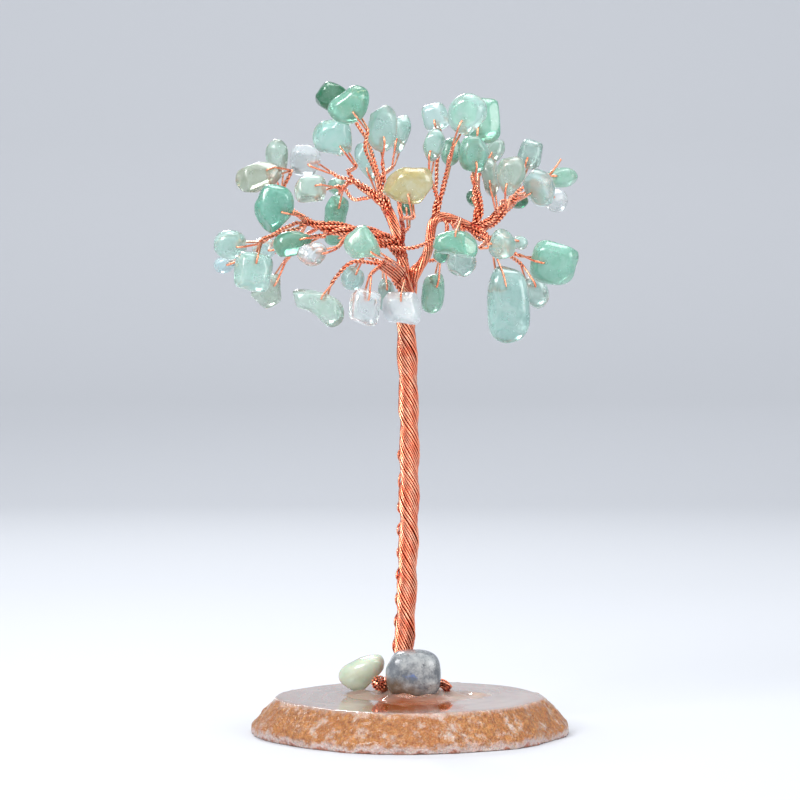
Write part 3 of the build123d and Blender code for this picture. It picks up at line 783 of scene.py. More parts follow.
FAN_MIDDLE = before_stem(-1.8, 86.2, 1.4)
FAN_END = before_stem(-5.2, 88.9, 2.0)
fan_start = int(np.linalg.norm(fan_stem - head, axis=1).argmin())
fan_tip = fan_stem[min(fan_start + int(FAN_REACH / PAIR_SPACING), len(fan_stem) - 1)]
fan_across = np.cross([0.0, 1.0, 0.0], FAN_END - FAN_MIDDLE)
fan_across = fan_across / np.linalg.norm(fan_across) * np.sign(fan_across[2])
fan_lines = []
drop_steps = int(FAN_DROP / TRUNK_SPACING)
fan_order = sorted(limb_wires["fan"], key=lambda wire: trunk_courses[wire][1][-1])
for slot, wire in enumerate(fan_order):
    line = trunk_courses[wire][0]
    spread = (slot - (len(fan_order) - 1) / 2) * FAN_SPACING * fan_across
    ends = [FAN_MIDDLE + spread, FAN_END + FAN_END_SHARE * spread, fan_tip + FAN_TIP_SHARE * spread]
    course = [*root_part(wire), *line[FOOT_STEPS:-drop_steps:COURSE_STEP], *ends]
    whole = smooth_line(course, TRUNK_SPACING, COURSE_SOFTENING)
    cut = int(np.linalg.norm(whole - FAN_MIDDLE - spread, axis=1).argmin())
    trunk_lines.append(whole[:cut])
    fan_lines.append(whole[cut - 1 :])

# %% [markdown]
# One loose wire wriggles up the trunk's left side. Its angle round the trunk swings in a wave whose width
# and pace change slowly, as a wire does that was never pulled tight.

# %% Loose wire on the trunk's left side
LOOSE_DRIFT, LOOSE_DRIFT_SIZE = 1.5, 9 * MM
LOOSE_EVEN, LOOSE_UNEVEN, LOOSE_UNEVEN_SIZE = 0.55, 0.6, 8 * MM
LOOSE_LIFT, LOOSE_PULL = 0.3 * MM, 0.22 * MM
LOOSE_TOP = 0.6
LOOSE_WAVE = 4.6 * MM
LOOSE_MIDDLE, LOOSE_SWING = math.radians(152), math.radians(42)
low_part = trunk_middle[: int(LOOSE_TOP * len(trunk_middle))]
low_along = along_line(low_part)
loose_drift = LOOSE_DRIFT * wavering(low_along, 90, LOOSE_DRIFT_SIZE)
loose_wave = np.cos(2 * math.pi * low_along / LOOSE_WAVE + loose_drift)
loose_wave = loose_wave * (LOOSE_EVEN + LOOSE_UNEVEN * wavering(low_along, 95, LOOSE_UNEVEN_SIZE))
loose_turn = LOOSE_MIDDLE - LOOSE_SWING * loose_wave
loose_ring = TRUNK_RING + LOOSE_LIFT - LOOSE_PULL * loose_wave
loose_way = np.stack([np.cos(loose_turn), np.sin(loose_turn), np.zeros_like(loose_turn)], axis=1)
trunk_lines.append(low_part + loose_ring[:, None] * loose_way)

# %% Trunk and fan pieces
trunk_wires = wire_piece("trunk_wires", trunk_lines, sides=8)
dressed(trunk_wires, copper)
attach(trunk_wires, "stand")
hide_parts("trunk_strands", "root_bundles", "main_fork")
fan = wire_piece("lower_left_branch_fan", fan_lines, sides=8)
dressed(fan, copper)
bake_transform(fan)

# %% [markdown]
# The wires inside the trunk show only as a dark red between the outer ones, so one rod stands for them, in a
# copper darkened as painted shade. It tapers at the head, where the wires spread and would leave a blunt end
# in sight.

# %% Core of the trunk
CORE_SIDES = 16
CORE_TAPER_PLACES = [0.0, 4.0 * MM, 10.0 * MM]
CORE_TAPER_SHARES = [0.3, 0.62, 1.0]
core_line = smooth_line(trunk_line, TRUNK_SPACING)
to_head = along_line(core_line)[-1] - along_line(core_line)
core_swell = np.interp(to_head, CORE_TAPER_PLACES, CORE_TAPER_SHARES)
heart = tubes("trunk_heart", [core_line], core_radius, CORE_SIDES, core_swell)
dressed(heart, painted_shade_copper)
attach(heart, "stand")
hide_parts("trunk_core")
print("core radius in mm", round(core_radius / MM, 2), "faces", len(heart.data.polygons))

# %% Twigs that leave the limbs
FORK_RUN = 6.0 * MM
limb_middle = {name: smooth_line(line, PAIR_SPACING) for name, line in limb_lines.items()}


def nearest_limb(points):
    """Name of the limb that a twig's points come closest to."""
    gaps = {}
    for name, line in limb_middle.items():
        gaps[name] = np.linalg.norm(points[:, None] - line[None, ::ROUTE_STEP], axis=2).min()
    return min(gaps, key=gaps.get)


fork_lines = []
for points, triangles in solids_of("fork_twigs"):
    line = limb_middle[nearest_limb(points)]
    shank, legs, hole_way = twig_lines(points, triangles, line)
    leave = int(np.linalg.norm(line - shank[0], axis=1).argmin())
    first = max(leave - int(FORK_RUN / PAIR_SPACING), 0)
    last = max(leave - int(LEAVE_BEND / PAIR_SPACING), 3)
    fork_lines.append(pair_wire(shank, legs, hole_way, line[first:last:ROUTE_STEP]))

# %% The pair that crosses in front of the fork
CROSS_PLACES = [
    (-5.6, 3.0, 92.9), (-3.8, 1.8, 91.9), (-1.9, 1.5, 91.6), (0.4, 1.7, 91.6),
    (2.65, 2.2, 92.3), (4.6, 3.4, 93.4),
]
cross_line = smooth_line(np.array(CROSS_PLACES) * MM, PAIR_SPACING)
cross_turns = 2 * math.pi * along_line(cross_line) / PAIR_PITCH
fork_lines += [wound(cross_line, WIRE_RADIUS, cross_turns + half) for half in (0.0, math.pi)]
fork_wires = wire_piece("fork_twig_wires", fork_lines)
dressed(fork_wires, copper)
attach(fork_wires, "stand")
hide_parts("fork_twigs")

# %% [markdown]
# ## Painted shade between the wires
# Where two wires touch, the copper mirrors itself again and again and turns deep red. A render shows that
# only in part at this fine size, so each point of a wire learns how near the next wire's middle is, and the
# finish darkens towards the touching line.
# That deep red is painted shade.

# %% Nearness of the next wire
GAP_STEP = 0.12 * MM
GAP_SEARCH = 14
GAP_FROM, GAP_OVER = 1.85, 0.62
OWN_STEPS = 12
courses = [evenly(line, GAP_STEP) for line in wire_courses]
wire_of = [wire for wire, course in enumerate(courses) for _ in course]
step_of = [step for course in courses for step in range(len(course))]
wire_tree = kdtree.KDTree(len(wire_of))
for place, point in enumerate(np.vstack(courses)):
    wire_tree.insert(point, place)
wire_tree.balance()


def gap_shade_at(point):
    """Share of painted shade at this point of a wire's surface: 1 where another wire touches, 0 where none is
    near.
    """
    found = wire_tree.find_n(point, GAP_SEARCH)
    own = found[0][1]
    for _, place, apart in found[1:]:
        if wire_of[place] != wire_of[own] or abs(step_of[place] - step_of[own]) > OWN_STEPS:
            return min(max((GAP_FROM - apart / WIRE_RADIUS) / GAP_OVER, 0.0), 1.0)
    return 0.0


# Every point of a wire gets its share of painted shade, which the copper finish reads.
for wires in wire_pieces:
    gaps = np.array([gap_shade_at(vertex.co) for vertex in wires.data.vertices], np.float32)
    wires.data.attributes.new("gap_shade", "FLOAT", "POINT").data.foreach_set("value", gaps)
    print(wires.name, "mean gap share", round(float(gaps.mean()), 2))

# %% [markdown]
# ## Stone chips
# Tumbled chips are smooth, but no two are alike: broken faces are still there as soft flats. A copy of
# each CAD chip is remeshed to even small faces, flats are pressed into it from a few sides, and a Smooth
# modifier rounds everything as the tumbler does. The drilled hole is closed, because the wire fills it.

# %% Shades of the chips
SHADES = {
    "emerald": "#008052", "forest": "#74B89E", "green": "#8CCCB4", "teal": "#7AC2AC", "bright": "#96D0BC",
    "leaf": "#A8D8C4", "mint": "#C4E6DC", "aqua": "#BCE8DE", "sea": "#BEE2DC", "sky": "#D0EAEE",
    "ice": "#D4EEEA", "spring": "#B0D6CE", "sage": "#C2D4C5", "slate": "#BCD8D0", "olive": "#BEC8B4",
    "honey": "#D0C284", "quartz": "#EDF3F4", "milk": "#DCE2E6", "pale": "#CCE3D7",
}
chip_shades = {
    "left_branch_green_chips": ["teal", "forest", "green"],
    "left_branch_pale_chips": ["olive", "pale", "mint", "sky", "mint", "sage"],
    "left_branch_clear_chips": ["ice", "quartz"],
    "upper_left_branch_pale_chips": ["aqua", "sea", "pale"],
    "upper_left_branch_green_chips": ["green", "leaf"],
    "upper_left_branch_clear_chips": ["quartz"],
    "top_branch_green_chips": ["emerald", "green"],
    "top_branch_pale_chips": ["mint", "mint"],
    "centre_branch_yellow_chips": ["honey"],
    "lower_left_branch_green_chips": ["leaf", "slate"],
    "lower_left_branch_pale_chips": ["pale", "sea"],
    "lower_left_branch_clear_chips": ["quartz"],
    "inner_right_branch_pale_chips": ["mint", "ice", "mint"],
    "inner_right_branch_green_chips": ["green"],
    "upper_right_branch_green_chips": ["bright", "green", "emerald"],
    "upper_right_branch_pale_chips": ["pale"],
    "right_branch_pale_chips": ["sage", "sage", "slate", "ice"],
    "right_branch_green_chips": ["leaf", "emerald"],
    "right_branch_clear_chips": ["quartz"],
    "lower_right_branch_pale_chips": ["mint", "spring", "slate", "mint"],
    "lower_right_branch_green_chips": ["bright"],
    "fork_clear_chips": ["milk"],
    "fork_green_chips": ["emerald", "leaf", "green", "forest"],
    "fork_pale_chips": ["slate"],
}


# %% Finish of the chips
def chip_finish(name, clearness, glow, relief=0.12, haze=0.38):
    """Polished translucent stone with soft clouds, fine flecks that are partly painted glints, and a few
    paler veins.
    """
    stone = Finish(
        name, IOR=1.54, Subsurface_Weight=glow, Subsurface_Scale=2.2 * MM, Transmission_Weight=clearness,
        Coat_Weight=0.6, Coat_Roughness=0.03,
    )
    stone.shader.inputs["Subsurface Radius"].default_value = (0.9, 1.0, 0.95)
    shade = stone.attribute("shade")
    pale_share = stone.ranged(stone.cloud(230.0, 5.0, 0.6, 0.8), 0.42, 0.62, 0.0, haze)
    clouds = stone.mixed(pale_share, shade, linear("#E4F1EC"))
    deep_share = stone.ranged(stone.cloud(480.0, 6.0, 0.65, 1.2), 0.5, 0.7, 0.0, 0.5)
    deep = stone.mixed(deep_share, clouds, shade, "MULTIPLY")
    vein_share = stone.ranged(stone.cloud(300.0, 6.0, 0.7, 2.5), 0.6, 0.7, 0.0, 0.5)
    veins = stone.mixed(vein_share, deep, linear("#F0F8F4"))
    # Bright flecks screened on: partly the stone's own inclusions, partly painted glints.
    fleck_and_glint_share = stone.ranged(stone.grains(1700.0), 0.0, 0.2, 0.45, 0.0)
    stone.set("Base Color", stone.mixed(fleck_and_glint_share, veins, linear("#F4FFF8"), "SCREEN"))
    stone.set("Roughness", stone.ranged(stone.cloud(700.0, 4.0), 0.35, 0.65, 0.05, 0.3))
    stone.bump(stone.cloud(900.0, 4.0), relief, 0.25 * MM)
    return stone


chip_finishes = {
    "green": chip_finish("green_stone", 0.6, 0.85, haze=0.2),
    "pale": chip_finish("pale_stone_chip", 0.72, 0.85),
    "clear": chip_finish("clear_quartz", 0.85, 0.7, 0.03),
    "yellow": chip_finish("yellow_stone", 0.6, 0.85),
    "milky": chip_finish("milky_quartz", 0.3, 0.85, 0.05),
}
print("chip finishes", len(chip_finishes))

# %% Tumbling
HOLE_REACH = 1.3 * MM
RAY_LIFT = 0.02 * MM
PRESS_SHARE = 0.9
TUMBLE_FACTOR = 0.5


def without_hole(points, triangles):
    """The triangles of a stone without the wall of its drilled hole, which looks across at itself."""
    surface = BVHTree.FromPolygons(points.tolist(), triangles.tolist())
    a, b, c = (points[triangles[:, corner]] for corner in range(3))
    ways = np.cross(b - a, c - a)
    ways /= np.maximum(np.linalg.norm(ways, axis=1, keepdims=True), 1e-30)
    starts = (a + b + c) / 3 + RAY_LIFT * ways
    hits = [surface.ray_cast(Vector(s), Vector(w), HOLE_REACH)[0] for s, w in zip(starts, ways)]
    return triangles[np.array([hit is None for hit in hits])]


def remeshed(name, points, triangles, voxel):
    """A stone's own object, with its triangles merged, its hole closed, and remeshed to even small faces."""
    bpy.ops.object.select_all(action="DESELECT")
    mesh = bpy.data.meshes.new(name)
    mesh.from_pydata(points.tolist(), [], triangles.tolist())
    stone = bpy.data.objects.new(name, mesh)
    bpy.context.scene.collection.objects.link(stone)
    stone.select_set(True)
    bpy.context.view_layer.objects.active = stone
    bpy.ops.object.mode_set(mode="EDIT")
    bpy.ops.mesh.select_all(action="SELECT")
    bpy.ops.mesh.remove_doubles(threshold=0.002 * MM)
    bpy.ops.mesh.select_all(action="SELECT")
    bpy.ops.mesh.fill_holes(sides=0)
    bpy.ops.object.mode_set(mode="OBJECT")
    mesh.remesh_voxel_size = voxel
    bpy.ops.object.voxel_remesh()
    return stone


def mesh_points(piece):
    """Points of a mesh as an array."""
    places = np.empty(len(piece.data.vertices) * 3)
    piece.data.vertices.foreach_get("co", places)
    return places.reshape(-1, 3)


def put_points(piece, points):
    """Writes changed points back."""
    piece.data.vertices.foreach_set("co", points.ravel())
    piece.data.update()


def press_flats(piece, count, depth, chance):
    """Presses soft flats into a stone from seeded random sides."""
    points = mesh_points(piece)
    middle = points.mean(axis=0)
    for way in chance.normal(size=(count, 3)):
        way = way / np.linalg.norm(way)
        reach = (points - middle) @ way
        over = np.clip(reach - reach.max() * (1 - depth * chance.uniform(0.5, 1.2)), 0, None)
        points -= PRESS_SHARE * over[:, None] * way
    put_points(piece, points)


def rounded(piece, rounds):
    """Rounds a stone with a Smooth modifier and applies it."""
    modifier = piece.modifiers.new("tumbler", "SMOOTH")
    modifier.factor = TUMBLE_FACTOR
    modifier.iterations = rounds
    bpy.context.view_layer.objects.active = piece
    bpy.ops.object.modifier_apply(modifier=modifier.name)
    bpy.ops.object.shade_smooth()


def refit(piece, wanted):
    """Brings a stone back to the box of its CAD points, because tumbling takes a little off."""
    points = mesh_points(piece)
    low, high = points.min(axis=0), points.max(axis=0)
    wanted_low, wanted_high = wanted.min(axis=0), wanted.max(axis=0)
    put_points(piece, wanted_low + (points - low) * (wanted_high - wanted_low) / (high - low))


def unit_shape(points):
    """Points in units of their own half box, from its middle."""
    low, high = points.min(axis=0), points.max(axis=0)
    return (2 * points - low - high) / (high - low), low, high


def fuller(piece, share, squareness=3.4):
    """Swells a stone a share of the way to a rounded block of the same box."""
    points = mesh_points(piece)
    shape, low, high = unit_shape(points)
    size = np.maximum((np.abs(shape) ** squareness).sum(axis=1), 1e-9)[:, None] ** (1 / squareness)
    put_points(piece, (low + high) / 2 + ((1 - share) * shape + share * shape / size) * (high - low) / 2)


# %% Chips
CHIP_VOXEL = 0.22 * MM
CHIP_FLATS, CHIP_FLAT_DEPTH = 8, 0.15
FULLER_CHIPS = {
    "lower_right_branch_pale_chips_1": 0.7,
    "fork_green_chips_1": 0.5,
    "lower_left_branch_green_chips_1": 0.5,
}
chance = np.random.default_rng(7)
record_bodies = frame["record"]["behaviour"]["bodies"]
bodies_of = {node: body for body, members in record_bodies.items() for node in members}


def tumbled_chip(name, points, triangles, shade):
    """One chip: its CAD solid without the hole, with flats pressed in, rounded and tinted."""
    stone = remeshed(name, points, without_hole(points, triangles), CHIP_VOXEL)
    press_flats(stone, CHIP_FLATS, CHIP_FLAT_DEPTH, chance)
    rounded(stone, 10)
    refit(stone, points)
    if name in FULLER_CHIPS:
        fuller(stone, FULLER_CHIPS[name])
    tint = stone.data.color_attributes.new("shade", "FLOAT_COLOR", "POINT")
    tint.data.foreach_set("color", np.tile(linear(SHADES[shade]), len(stone.data.vertices)))
    return stone


def joined(pieces):
    """Several pieces as one object."""
    bpy.ops.object.select_all(action="DESELECT")
    for piece in pieces:
        piece.select_set(True)
    bpy.context.view_layer.objects.active = pieces[0]
    if len(pieces) > 1:
        bpy.ops.object.join()
    return pieces[0]


for node, shades in chip_shades.items():
    solids = solids_of(node)
    rows = enumerate(zip(solids, shades))
    chips = joined([tumbled_chip(f"{node}_{place}", *solid, shade) for place, (solid, shade) in rows])
    chips.name = node.replace("_chips", "_stones")
    kind = node.split("_")[-2]
    dressed(chips, chip_finishes["milky" if node == "fork_clear_chips" else kind])
    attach(chips, bodies_of[node])
    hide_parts(node)
    print(chips.name, len(shades), "chips,", len(chips.data.polygons), "faces")

# %% [markdown]
# ## Agate slice
# The slice is sawn and polished on top, and its side is the stone's natural rind, a crust of small rusty
# crystals. The remeshed CAD slice keeps its flat top, and only the side is pushed in and out by two sizes
# of noise, so the crust is real relief and not just a pattern.

# %% Slice with its crust
SLAB_VOXEL = 0.4 * MM
RIND_FROM, RIND_OVER = 0.25, 0.3
GRAIN_SCALE, GRAIN_HEIGHT = 800.0, 0.26 * MM
LUMP_SCALE, LUMP_HEIGHT = 190.0, 0.5 * MM
CRUST_SINK = 0.1 * MM


def noise_at(points, scale):
    """Noise between -1 and 1 at each point."""
    return np.array([noise.noise(Vector(point) * scale) for point in points])


slab = remeshed("agate_slice", *solids_of("agate_base")[0], SLAB_VOXEL)
rounded(slab, 4)
points = mesh_points(slab)
slab_top = float(points[:, 2].max())
slab_normals = np.array([vertex.normal for vertex in slab.data.vertices])
rind = np.clip((np.abs(slab_normals[:, :2]).max(axis=1) - RIND_FROM) / RIND_OVER, 0, 1)
crust_height = GRAIN_HEIGHT * noise_at(points, GRAIN_SCALE) + LUMP_HEIGHT * noise_at(points, LUMP_SCALE)
push = rind * (crust_height - CRUST_SINK)
points = points + slab_normals * push[:, None]
points[:, 2] = np.clip(points[:, 2], 0.0, slab_top)
put_points(slab, points)
crust = slab.data.attributes.new("rind", "FLOAT", "POINT")
crust.data.foreach_set("value", rind.astype(np.float32))
print("agate slice", len(slab.data.polygons), "faces, top at mm", round(slab_top / MM, 2))

# %% Agate finish
AMBER_PLACE = (0.6 * MM, -14.0 * MM, 7.0 * MM)
AMBER_STRETCH = (1 / (9.0 * MM), 1 / (10.0 * MM), 0.0)
agate = Finish(
    "agate", IOR=1.54, Coat_Weight=0.35, Coat_Roughness=0.05, Subsurface_Weight=0.25,
    Subsurface_Scale=2.0 * MM,
)
rind_share = agate.attribute("rind", "Fac")


def spot_distance(finish, middle, stretch):
    """Distance from a place, in units of a patch's own size along each axis."""
    shifted = finish.node("ShaderNodeVectorMath", operation="SUBTRACT")
    finish.feed(shifted.inputs[0], finish.place)
    shifted.inputs[1].default_value = middle
    stretched = finish.node("ShaderNodeVectorMath", operation="MULTIPLY")
    finish.feed(stretched.inputs[0], shifted.outputs["Vector"])
    stretched.inputs[1].default_value = stretch
    measured = finish.node("ShaderNodeVectorMath", operation="LENGTH")
    finish.feed(measured.inputs[0], stretched.outputs["Vector"])
    return measured.outputs["Value"]


from_middle = spot_distance(agate, (0.0, 0.0, 0.0), (1.0, 1.0, 0.0))
band_wave = agate.sums("MULTIPLY", from_middle, 1700.0)
band_wave = agate.sums("ADD", band_wave, agate.sums("MULTIPLY", agate.cloud(50.0, 3.0), 14.0))
bands = agate.sums("SINE", band_wave, 0.0)
polished = agate.mixed(agate.ranged(bands, -1.0, 1.0, 0.35, 0.65), linear("#927A70"), linear("#B29E94"))
amber_edge = agate.sums("ADD", spot_distance(agate, AMBER_PLACE, AMBER_STRETCH), agate.cloud(180.0, 3.0))
polished = agate.layered(
    polished,
    (agate.ranged(agate.cloud(70.0, 4.0), 0.42, 0.68, 0.0, 0.75), "#C4B2A8"),
    (agate.ranged(from_middle, 21.0 * MM, 28.0 * MM, 0.0, 0.85), "#9A7565"),
    (agate.ranged(amber_edge, 1.05, 1.65, 0.95, 0.0), "#A24C08"),
)
# Pale crystal specks of the crust, laid on bright: partly their own colour, partly painted glints.
crystal_share = agate.ranged(agate.grains(2300.0), 0.0, 0.3, 1.0, 0.0)
specks_and_glints = agate.sums("MULTIPLY", crystal_share, agate.cloud(420.0, 4.0))
ragged = agate.sums("MULTIPLY", agate.sums("SUBTRACT", agate.cloud(330.0, 5.0, 0.7), 0.5), 5.0 * MM)
low_edge = agate.sums("ADD", agate.height(), ragged)
grain_share = agate.ranged(agate.cloud(1100.0, 6.0, 0.75), 0.36, 0.64)
grainy = agate.layered(
    agate.mixed(grain_share, linear("#7C4214"), linear("#C08242")),
    (agate.ranged(agate.cloud(150.0, 5.0, 0.6), 0.45, 0.65, 0.0, 0.6), "#A26026"),
    (agate.ranged(agate.cloud(230.0, 8.0, 0.75), 0.53, 0.66, 0.0, 0.8), "#CDBDB4"),
    (agate.ranged(specks_and_glints, 0.3, 0.6, 0.0, 0.85), "#F6E4CC"),
    (agate.ranged(low_edge, 0.7 * MM, 1.7 * MM, 0.85, 0.0), "#C3B0AB"),
    (agate.ranged(low_edge, -0.1 * MM, 0.5 * MM, 0.85, 0.0), "#97481F"),
    (agate.ranged(low_edge, 6.1 * MM, 7.2 * MM, 0.0, 0.6), "#CDB9B0"),
)
agate.set("Base Color", agate.mixed(rind_share, polished, grainy))
agate.set("Roughness", agate.ranged(rind_share, 0.0, 1.0, 0.06, 0.42))
crystals = agate.sums("MULTIPLY", agate.grains(2000.0), rind_share)
agate.bump(crystals, 0.8, 0.4 * MM)
dressed(slab, agate)
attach(slab, "stand")
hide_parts("agate_base")
print("agate finish made")

# %% [markdown]
# ## Two pebbles and the resin
# A grey speckled pebble and a pale one hide the trunk's foot, and clear resin holds them. The resin creeps
# up a little wherever it wets a stone, and thins out to nothing at its rim.

# %% Pebbles
GREY_VOXEL, PALE_VOXEL = 0.26 * MM, 0.24 * MM
GREY_FULLNESS, GREY_FLATS, GREY_FLAT_DEPTH = 0.75, 6, 0.1
PALE_TILT = math.radians(40)
PALE_LONG, PALE_UPPER, PALE_LOWER, PALE_TAPER = 1.15, 0.5, 0.85, 0.3

grey_solid = solids_of("grey_pebble")[0]
grey = remeshed("grey_stone", *grey_solid, GREY_VOXEL)
fuller(grey, GREY_FULLNESS)
press_flats(grey, GREY_FLATS, GREY_FLAT_DEPTH, chance)
rounded(grey, 8)
refit(grey, grey_solid[0])
pale_solid = solids_of("pale_pebble")[0]
pale = remeshed("pale_stone", *pale_solid, PALE_VOXEL)
shape, low, high = unit_shape(mesh_points(pale))
long_way = PALE_LONG * shape[:, 0]
short_way = np.where(shape[:, 2] > 0, PALE_UPPER, PALE_LOWER) * shape[:, 2]
short_way = short_way * (1 - PALE_TAPER * shape[:, 0])
shape[:, 0] = long_way * math.cos(PALE_TILT) - short_way * math.sin(PALE_TILT)
shape[:, 2] = long_way * math.sin(PALE_TILT) + short_way * math.cos(PALE_TILT)
put_points(pale, (low + high) / 2 + shape * (high - low) / 2)
rounded(pale, 8)
refit(pale, pale_solid[0])
print("pebbles", len(grey.data.polygons), len(pale.data.polygons), "faces")

# %% Pebble finishes
BLUE_PLACE = (0.4 * MM, -6.0 * MM, 11.6 * MM)
BLUE_STRETCH = (1 / (1.9 * MM), 1 / (3.0 * MM), 1 / (0.9 * MM))
BROWN_PLACE = (-3.4 * MM, -4.5 * MM, 8.0 * MM)
BROWN_STRETCH = (1 / (6.0 * MM), 1 / (9.0 * MM), 1 / (3.4 * MM))
speckled = Finish("speckled_grey_stone", IOR=1.55, Coat_Weight=0.3, Coat_Roughness=0.08)
grey_share = speckled.ranged(speckled.cloud(240.0, 7.0, 0.7), 0.42, 0.6)
brown_edge = speckled.sums("ADD", spot_distance(speckled, BROWN_PLACE, BROWN_STRETCH), speckled.cloud(420.0))
blue_rag = speckled.sums("MULTIPLY", speckled.cloud(1100.0, 5.0, 0.7), 3.0)
blue_edge = speckled.sums("ADD", spot_distance(speckled, BLUE_PLACE, BLUE_STRETCH), blue_rag)
grey_shade = speckled.layered(
    speckled.mixed(grey_share, linear("#585E64"), linear("#A4A8A8")),
    (speckled.ranged(speckled.cloud(150.0, 4.0), 0.5, 0.7, 0.0, 0.6), "#8E979E"),
    (speckled.ranged(speckled.cloud(1150.0, 5.0, 0.7), 0.58, 0.68, 0.0, 0.9), "#3E4249"),
    (speckled.ranged(brown_edge, 1.1, 1.6, 0.9, 0.0), "#5A4630"),
    # Painted shade: darker towards the pebble's foot, where it sits in the resin on the slice.
    (speckled.ranged(speckled.height(), 7.2 * MM, 8.2 * MM, 0.85, 0.0), "#33291E"),
    (speckled.ranged(blue_edge, 1.6, 2.2, 0.8, 0.0), "#4A68A8"),
)
speckled.set("Base Color", grey_shade)
speckled.set("Roughness", speckled.ranged(speckled.cloud(700.0), 0.3, 0.7, 0.12, 0.3))
speckled.bump(speckled.cloud(1200.0, 4.0), 0.15, 0.2 * MM)
milky = Finish(
    "milky_green_stone", IOR=1.54, Subsurface_Weight=0.6, Subsurface_Scale=1.5 * MM, Coat_Weight=0.4,
    Coat_Roughness=0.05,
)
milky_share = milky.ranged(milky.cloud(300.0, 4.0), 0.35, 0.65)
milky.set("Base Color", milky.mixed(milky_share, linear("#B0C0A8"), linear("#CCD6C4")))
milky.set("Roughness", milky.ranged(milky.cloud(800.0), 0.3, 0.7, 0.1, 0.2))
pebble_rows = [(grey, speckled, "grey_stone", "grey_pebble"), (pale, milky, "pale_stone", "pale_pebble")]
for pebble, finish, slot, node in pebble_rows:
    dressed(pebble, finish)
    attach(pebble, "stand")
    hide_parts(node)
print("pebble finishes made")

# %% [markdown]
# The resin was poured on and set with a wavy skin. Its CAD pool is remeshed, its upper side is drawn as a
# low dome with ripples and a wandering rim, and its lower side sinks a little into the slice.

# %% Resin
RESIN_VOXEL = 0.24 * MM
WET_ABOVE = 1.0 * MM
WANDER_SCALE, WANDER_SHARE, RIM_SHARE = 160.0, 0.2, 0.45
RIPPLE_SCALE, RIPPLE_LEVEL, RIPPLE_SHARE = 420.0, 0.7, 0.8
RESIN_BOND = 0.35 * MM
RESIN_THIN = -0.12 * MM
CREEP_HEIGHT, CREEP_REACH = 0.7 * MM, 1.2 * MM
resin = remeshed("resin", *solids_of("resin_pool")[0], RESIN_VOXEL)
rounded(resin, 4)
points = mesh_points(resin)
shape, low, high = unit_shape(points)
wet_points = np.vstack([mesh_points(grey), mesh_points(pale)])
wet_points = wet_points[wet_points[:, 2] < high[2] + WET_ABOVE]
wet_tree = kdtree.KDTree(len(wet_points))
for place, point in enumerate(wet_points):
    wet_tree.insert((point[0], point[1], 0), place)
wet_tree.balance()
wet = np.array([wet_tree.find((point[0], point[1], 0))[2] for point in points])
upper = (1 + shape[:, 2]) / 2
from_above = points * [1, 1, 0]
wander = noise_at(from_above, WANDER_SCALE)
dome = np.clip((1 - np.linalg.norm(shape[:, :2], axis=1) + WANDER_SHARE * wander) / RIM_SHARE, 0, 1)
dome = dome * dome * (3 - 2 * dome)
ripple = noise_at(from_above, RIPPLE_SCALE)
thickness = RESIN_THIN + (high[2] - low[2]) * dome * (RIPPLE_LEVEL + RIPPLE_SHARE * ripple)
creep = CREEP_HEIGHT * np.exp(-wet / CREEP_REACH) * np.clip(2 * dome, 0, 1)
points[:, 2] = low[2] - RESIN_BOND + upper * (RESIN_BOND + thickness + creep)
put_points(resin, points)
rounded(resin, 3)
clear = Finish("clear_resin", IOR=1.49, Transmission_Weight=1.0, Roughness=0.03)
clear.shader.inputs["Base Color"].default_value = linear("#FBF6EF")
clear.bump(clear.cloud(420.0, 2.0), 0.3, 0.4 * MM)
dressed(resin, clear)
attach(resin, "stand")
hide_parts("resin_pool")
resin.visible_shadow = False
print("resin", len(resin.data.polygons), "faces")

# %% [markdown]
# ## Floor, light and camera
# A pale sweep, four soft boxes and a grey room give the even light of a product picture. The camera stands
# 0.6 m in front and looks slightly down, as in the photograph.

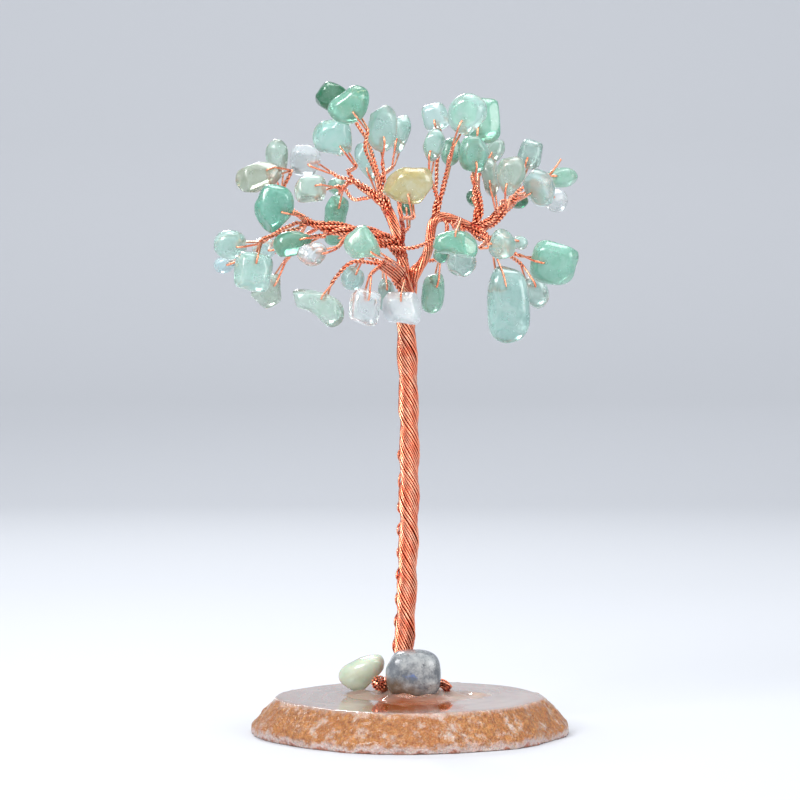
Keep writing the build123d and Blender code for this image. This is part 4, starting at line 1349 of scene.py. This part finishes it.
# %% Floor
FLOOR_SIZE, FLOOR_SHIFT = (6.0, 1.6, 1.0), (0.0, -0.2, 0.0)
SWEEP_STEPS = [(0.03, 0.2), (0.12, 0.14), (0.3, 0.06), (2.5, 0.0)]
bpy.ops.mesh.primitive_plane_add(size=1.0)
floor = bpy.context.object
floor.name = "floor"
bpy.ops.object.mode_set(mode="EDIT")
bpy.ops.transform.resize(value=FLOOR_SIZE)
bpy.ops.transform.translate(value=FLOOR_SHIFT)
bpy.ops.mesh.select_all(action="DESELECT")
bpy.ops.object.mode_set(mode="OBJECT")
for edge in floor.data.edges:
    edge.select = all(floor.data.vertices[end].co.y > 0 for end in edge.vertices)
bpy.ops.object.mode_set(mode="EDIT")
bpy.ops.mesh.select_mode(type="EDGE")
for lift, push_back in SWEEP_STEPS:
    bpy.ops.mesh.extrude_region_move(TRANSFORM_OT_translate={"value": (0.0, push_back, lift)})
bpy.ops.object.mode_set(mode="OBJECT")
bpy.ops.object.shade_smooth()
paper = Finish("pale_paper", Roughness=0.6)
from_middle = paper.node("ShaderNodeVectorMath", operation="LENGTH")
paper.feed(from_middle.inputs[0], paper.place)
far_away = paper.ranged(from_middle.outputs["Value"], 0.06, 0.3)
paper.set("Base Color", paper.mixed(far_away, linear("#CBCED3"), linear("#C5C8CD")))
floor.data.materials.append(paper.material)

# %% Light
ROOM_COLOUR, ROOM_STRENGTH = (0.86, 0.88, 0.92, 1.0), 0.85
LIGHT_TARGET = Vector((0.0, 0.0, 0.07))
world = bpy.data.worlds.new("studio")
bpy.context.scene.world = world
world.use_nodes = True
world.node_tree.nodes["Background"].inputs["Color"].default_value = ROOM_COLOUR
world.node_tree.nodes["Background"].inputs["Strength"].default_value = ROOM_STRENGTH
soft_boxes = [
    ("key", (-0.45, -0.5, 0.5), 0.34, 4.8),
    ("fill", (0.55, -0.45, 0.3), 0.4, 2.2),
    ("top", (0.05, 0.1, 0.75), 0.4, 2.4),
    ("back", (-0.12, 0.5, 0.42), 0.12, 0.9),
]
for name, place, size, power in soft_boxes:
    bpy.ops.object.light_add(type="AREA", location=place)
    lamp = bpy.context.object
    lamp.name = name
    lamp.data.size = size
    lamp.data.energy = power
    lamp.rotation_euler = (LIGHT_TARGET - Vector(place)).to_track_quat("-Z", "Y").to_euler()

# %% Camera
CAMERA_PLACE = (-1.88 * MM, -600 * MM, 86 * MM)
CAMERA_PITCH = math.radians(90 - 2.195)
FOCAL_PIXELS, PICTURE_PIXELS = 3190, 800
SENSOR_WIDTH = 36.0
bpy.ops.object.camera_add(location=CAMERA_PLACE, rotation=(CAMERA_PITCH, 0.0, 0.0))
camera = bpy.context.object
camera.data.sensor_width = SENSOR_WIDTH
camera.data.lens = SENSOR_WIDTH * FOCAL_PIXELS / PICTURE_PIXELS
camera.data.clip_start = 0.01
bpy.context.scene.camera = camera
bpy.context.scene.view_settings.view_transform = "Standard"
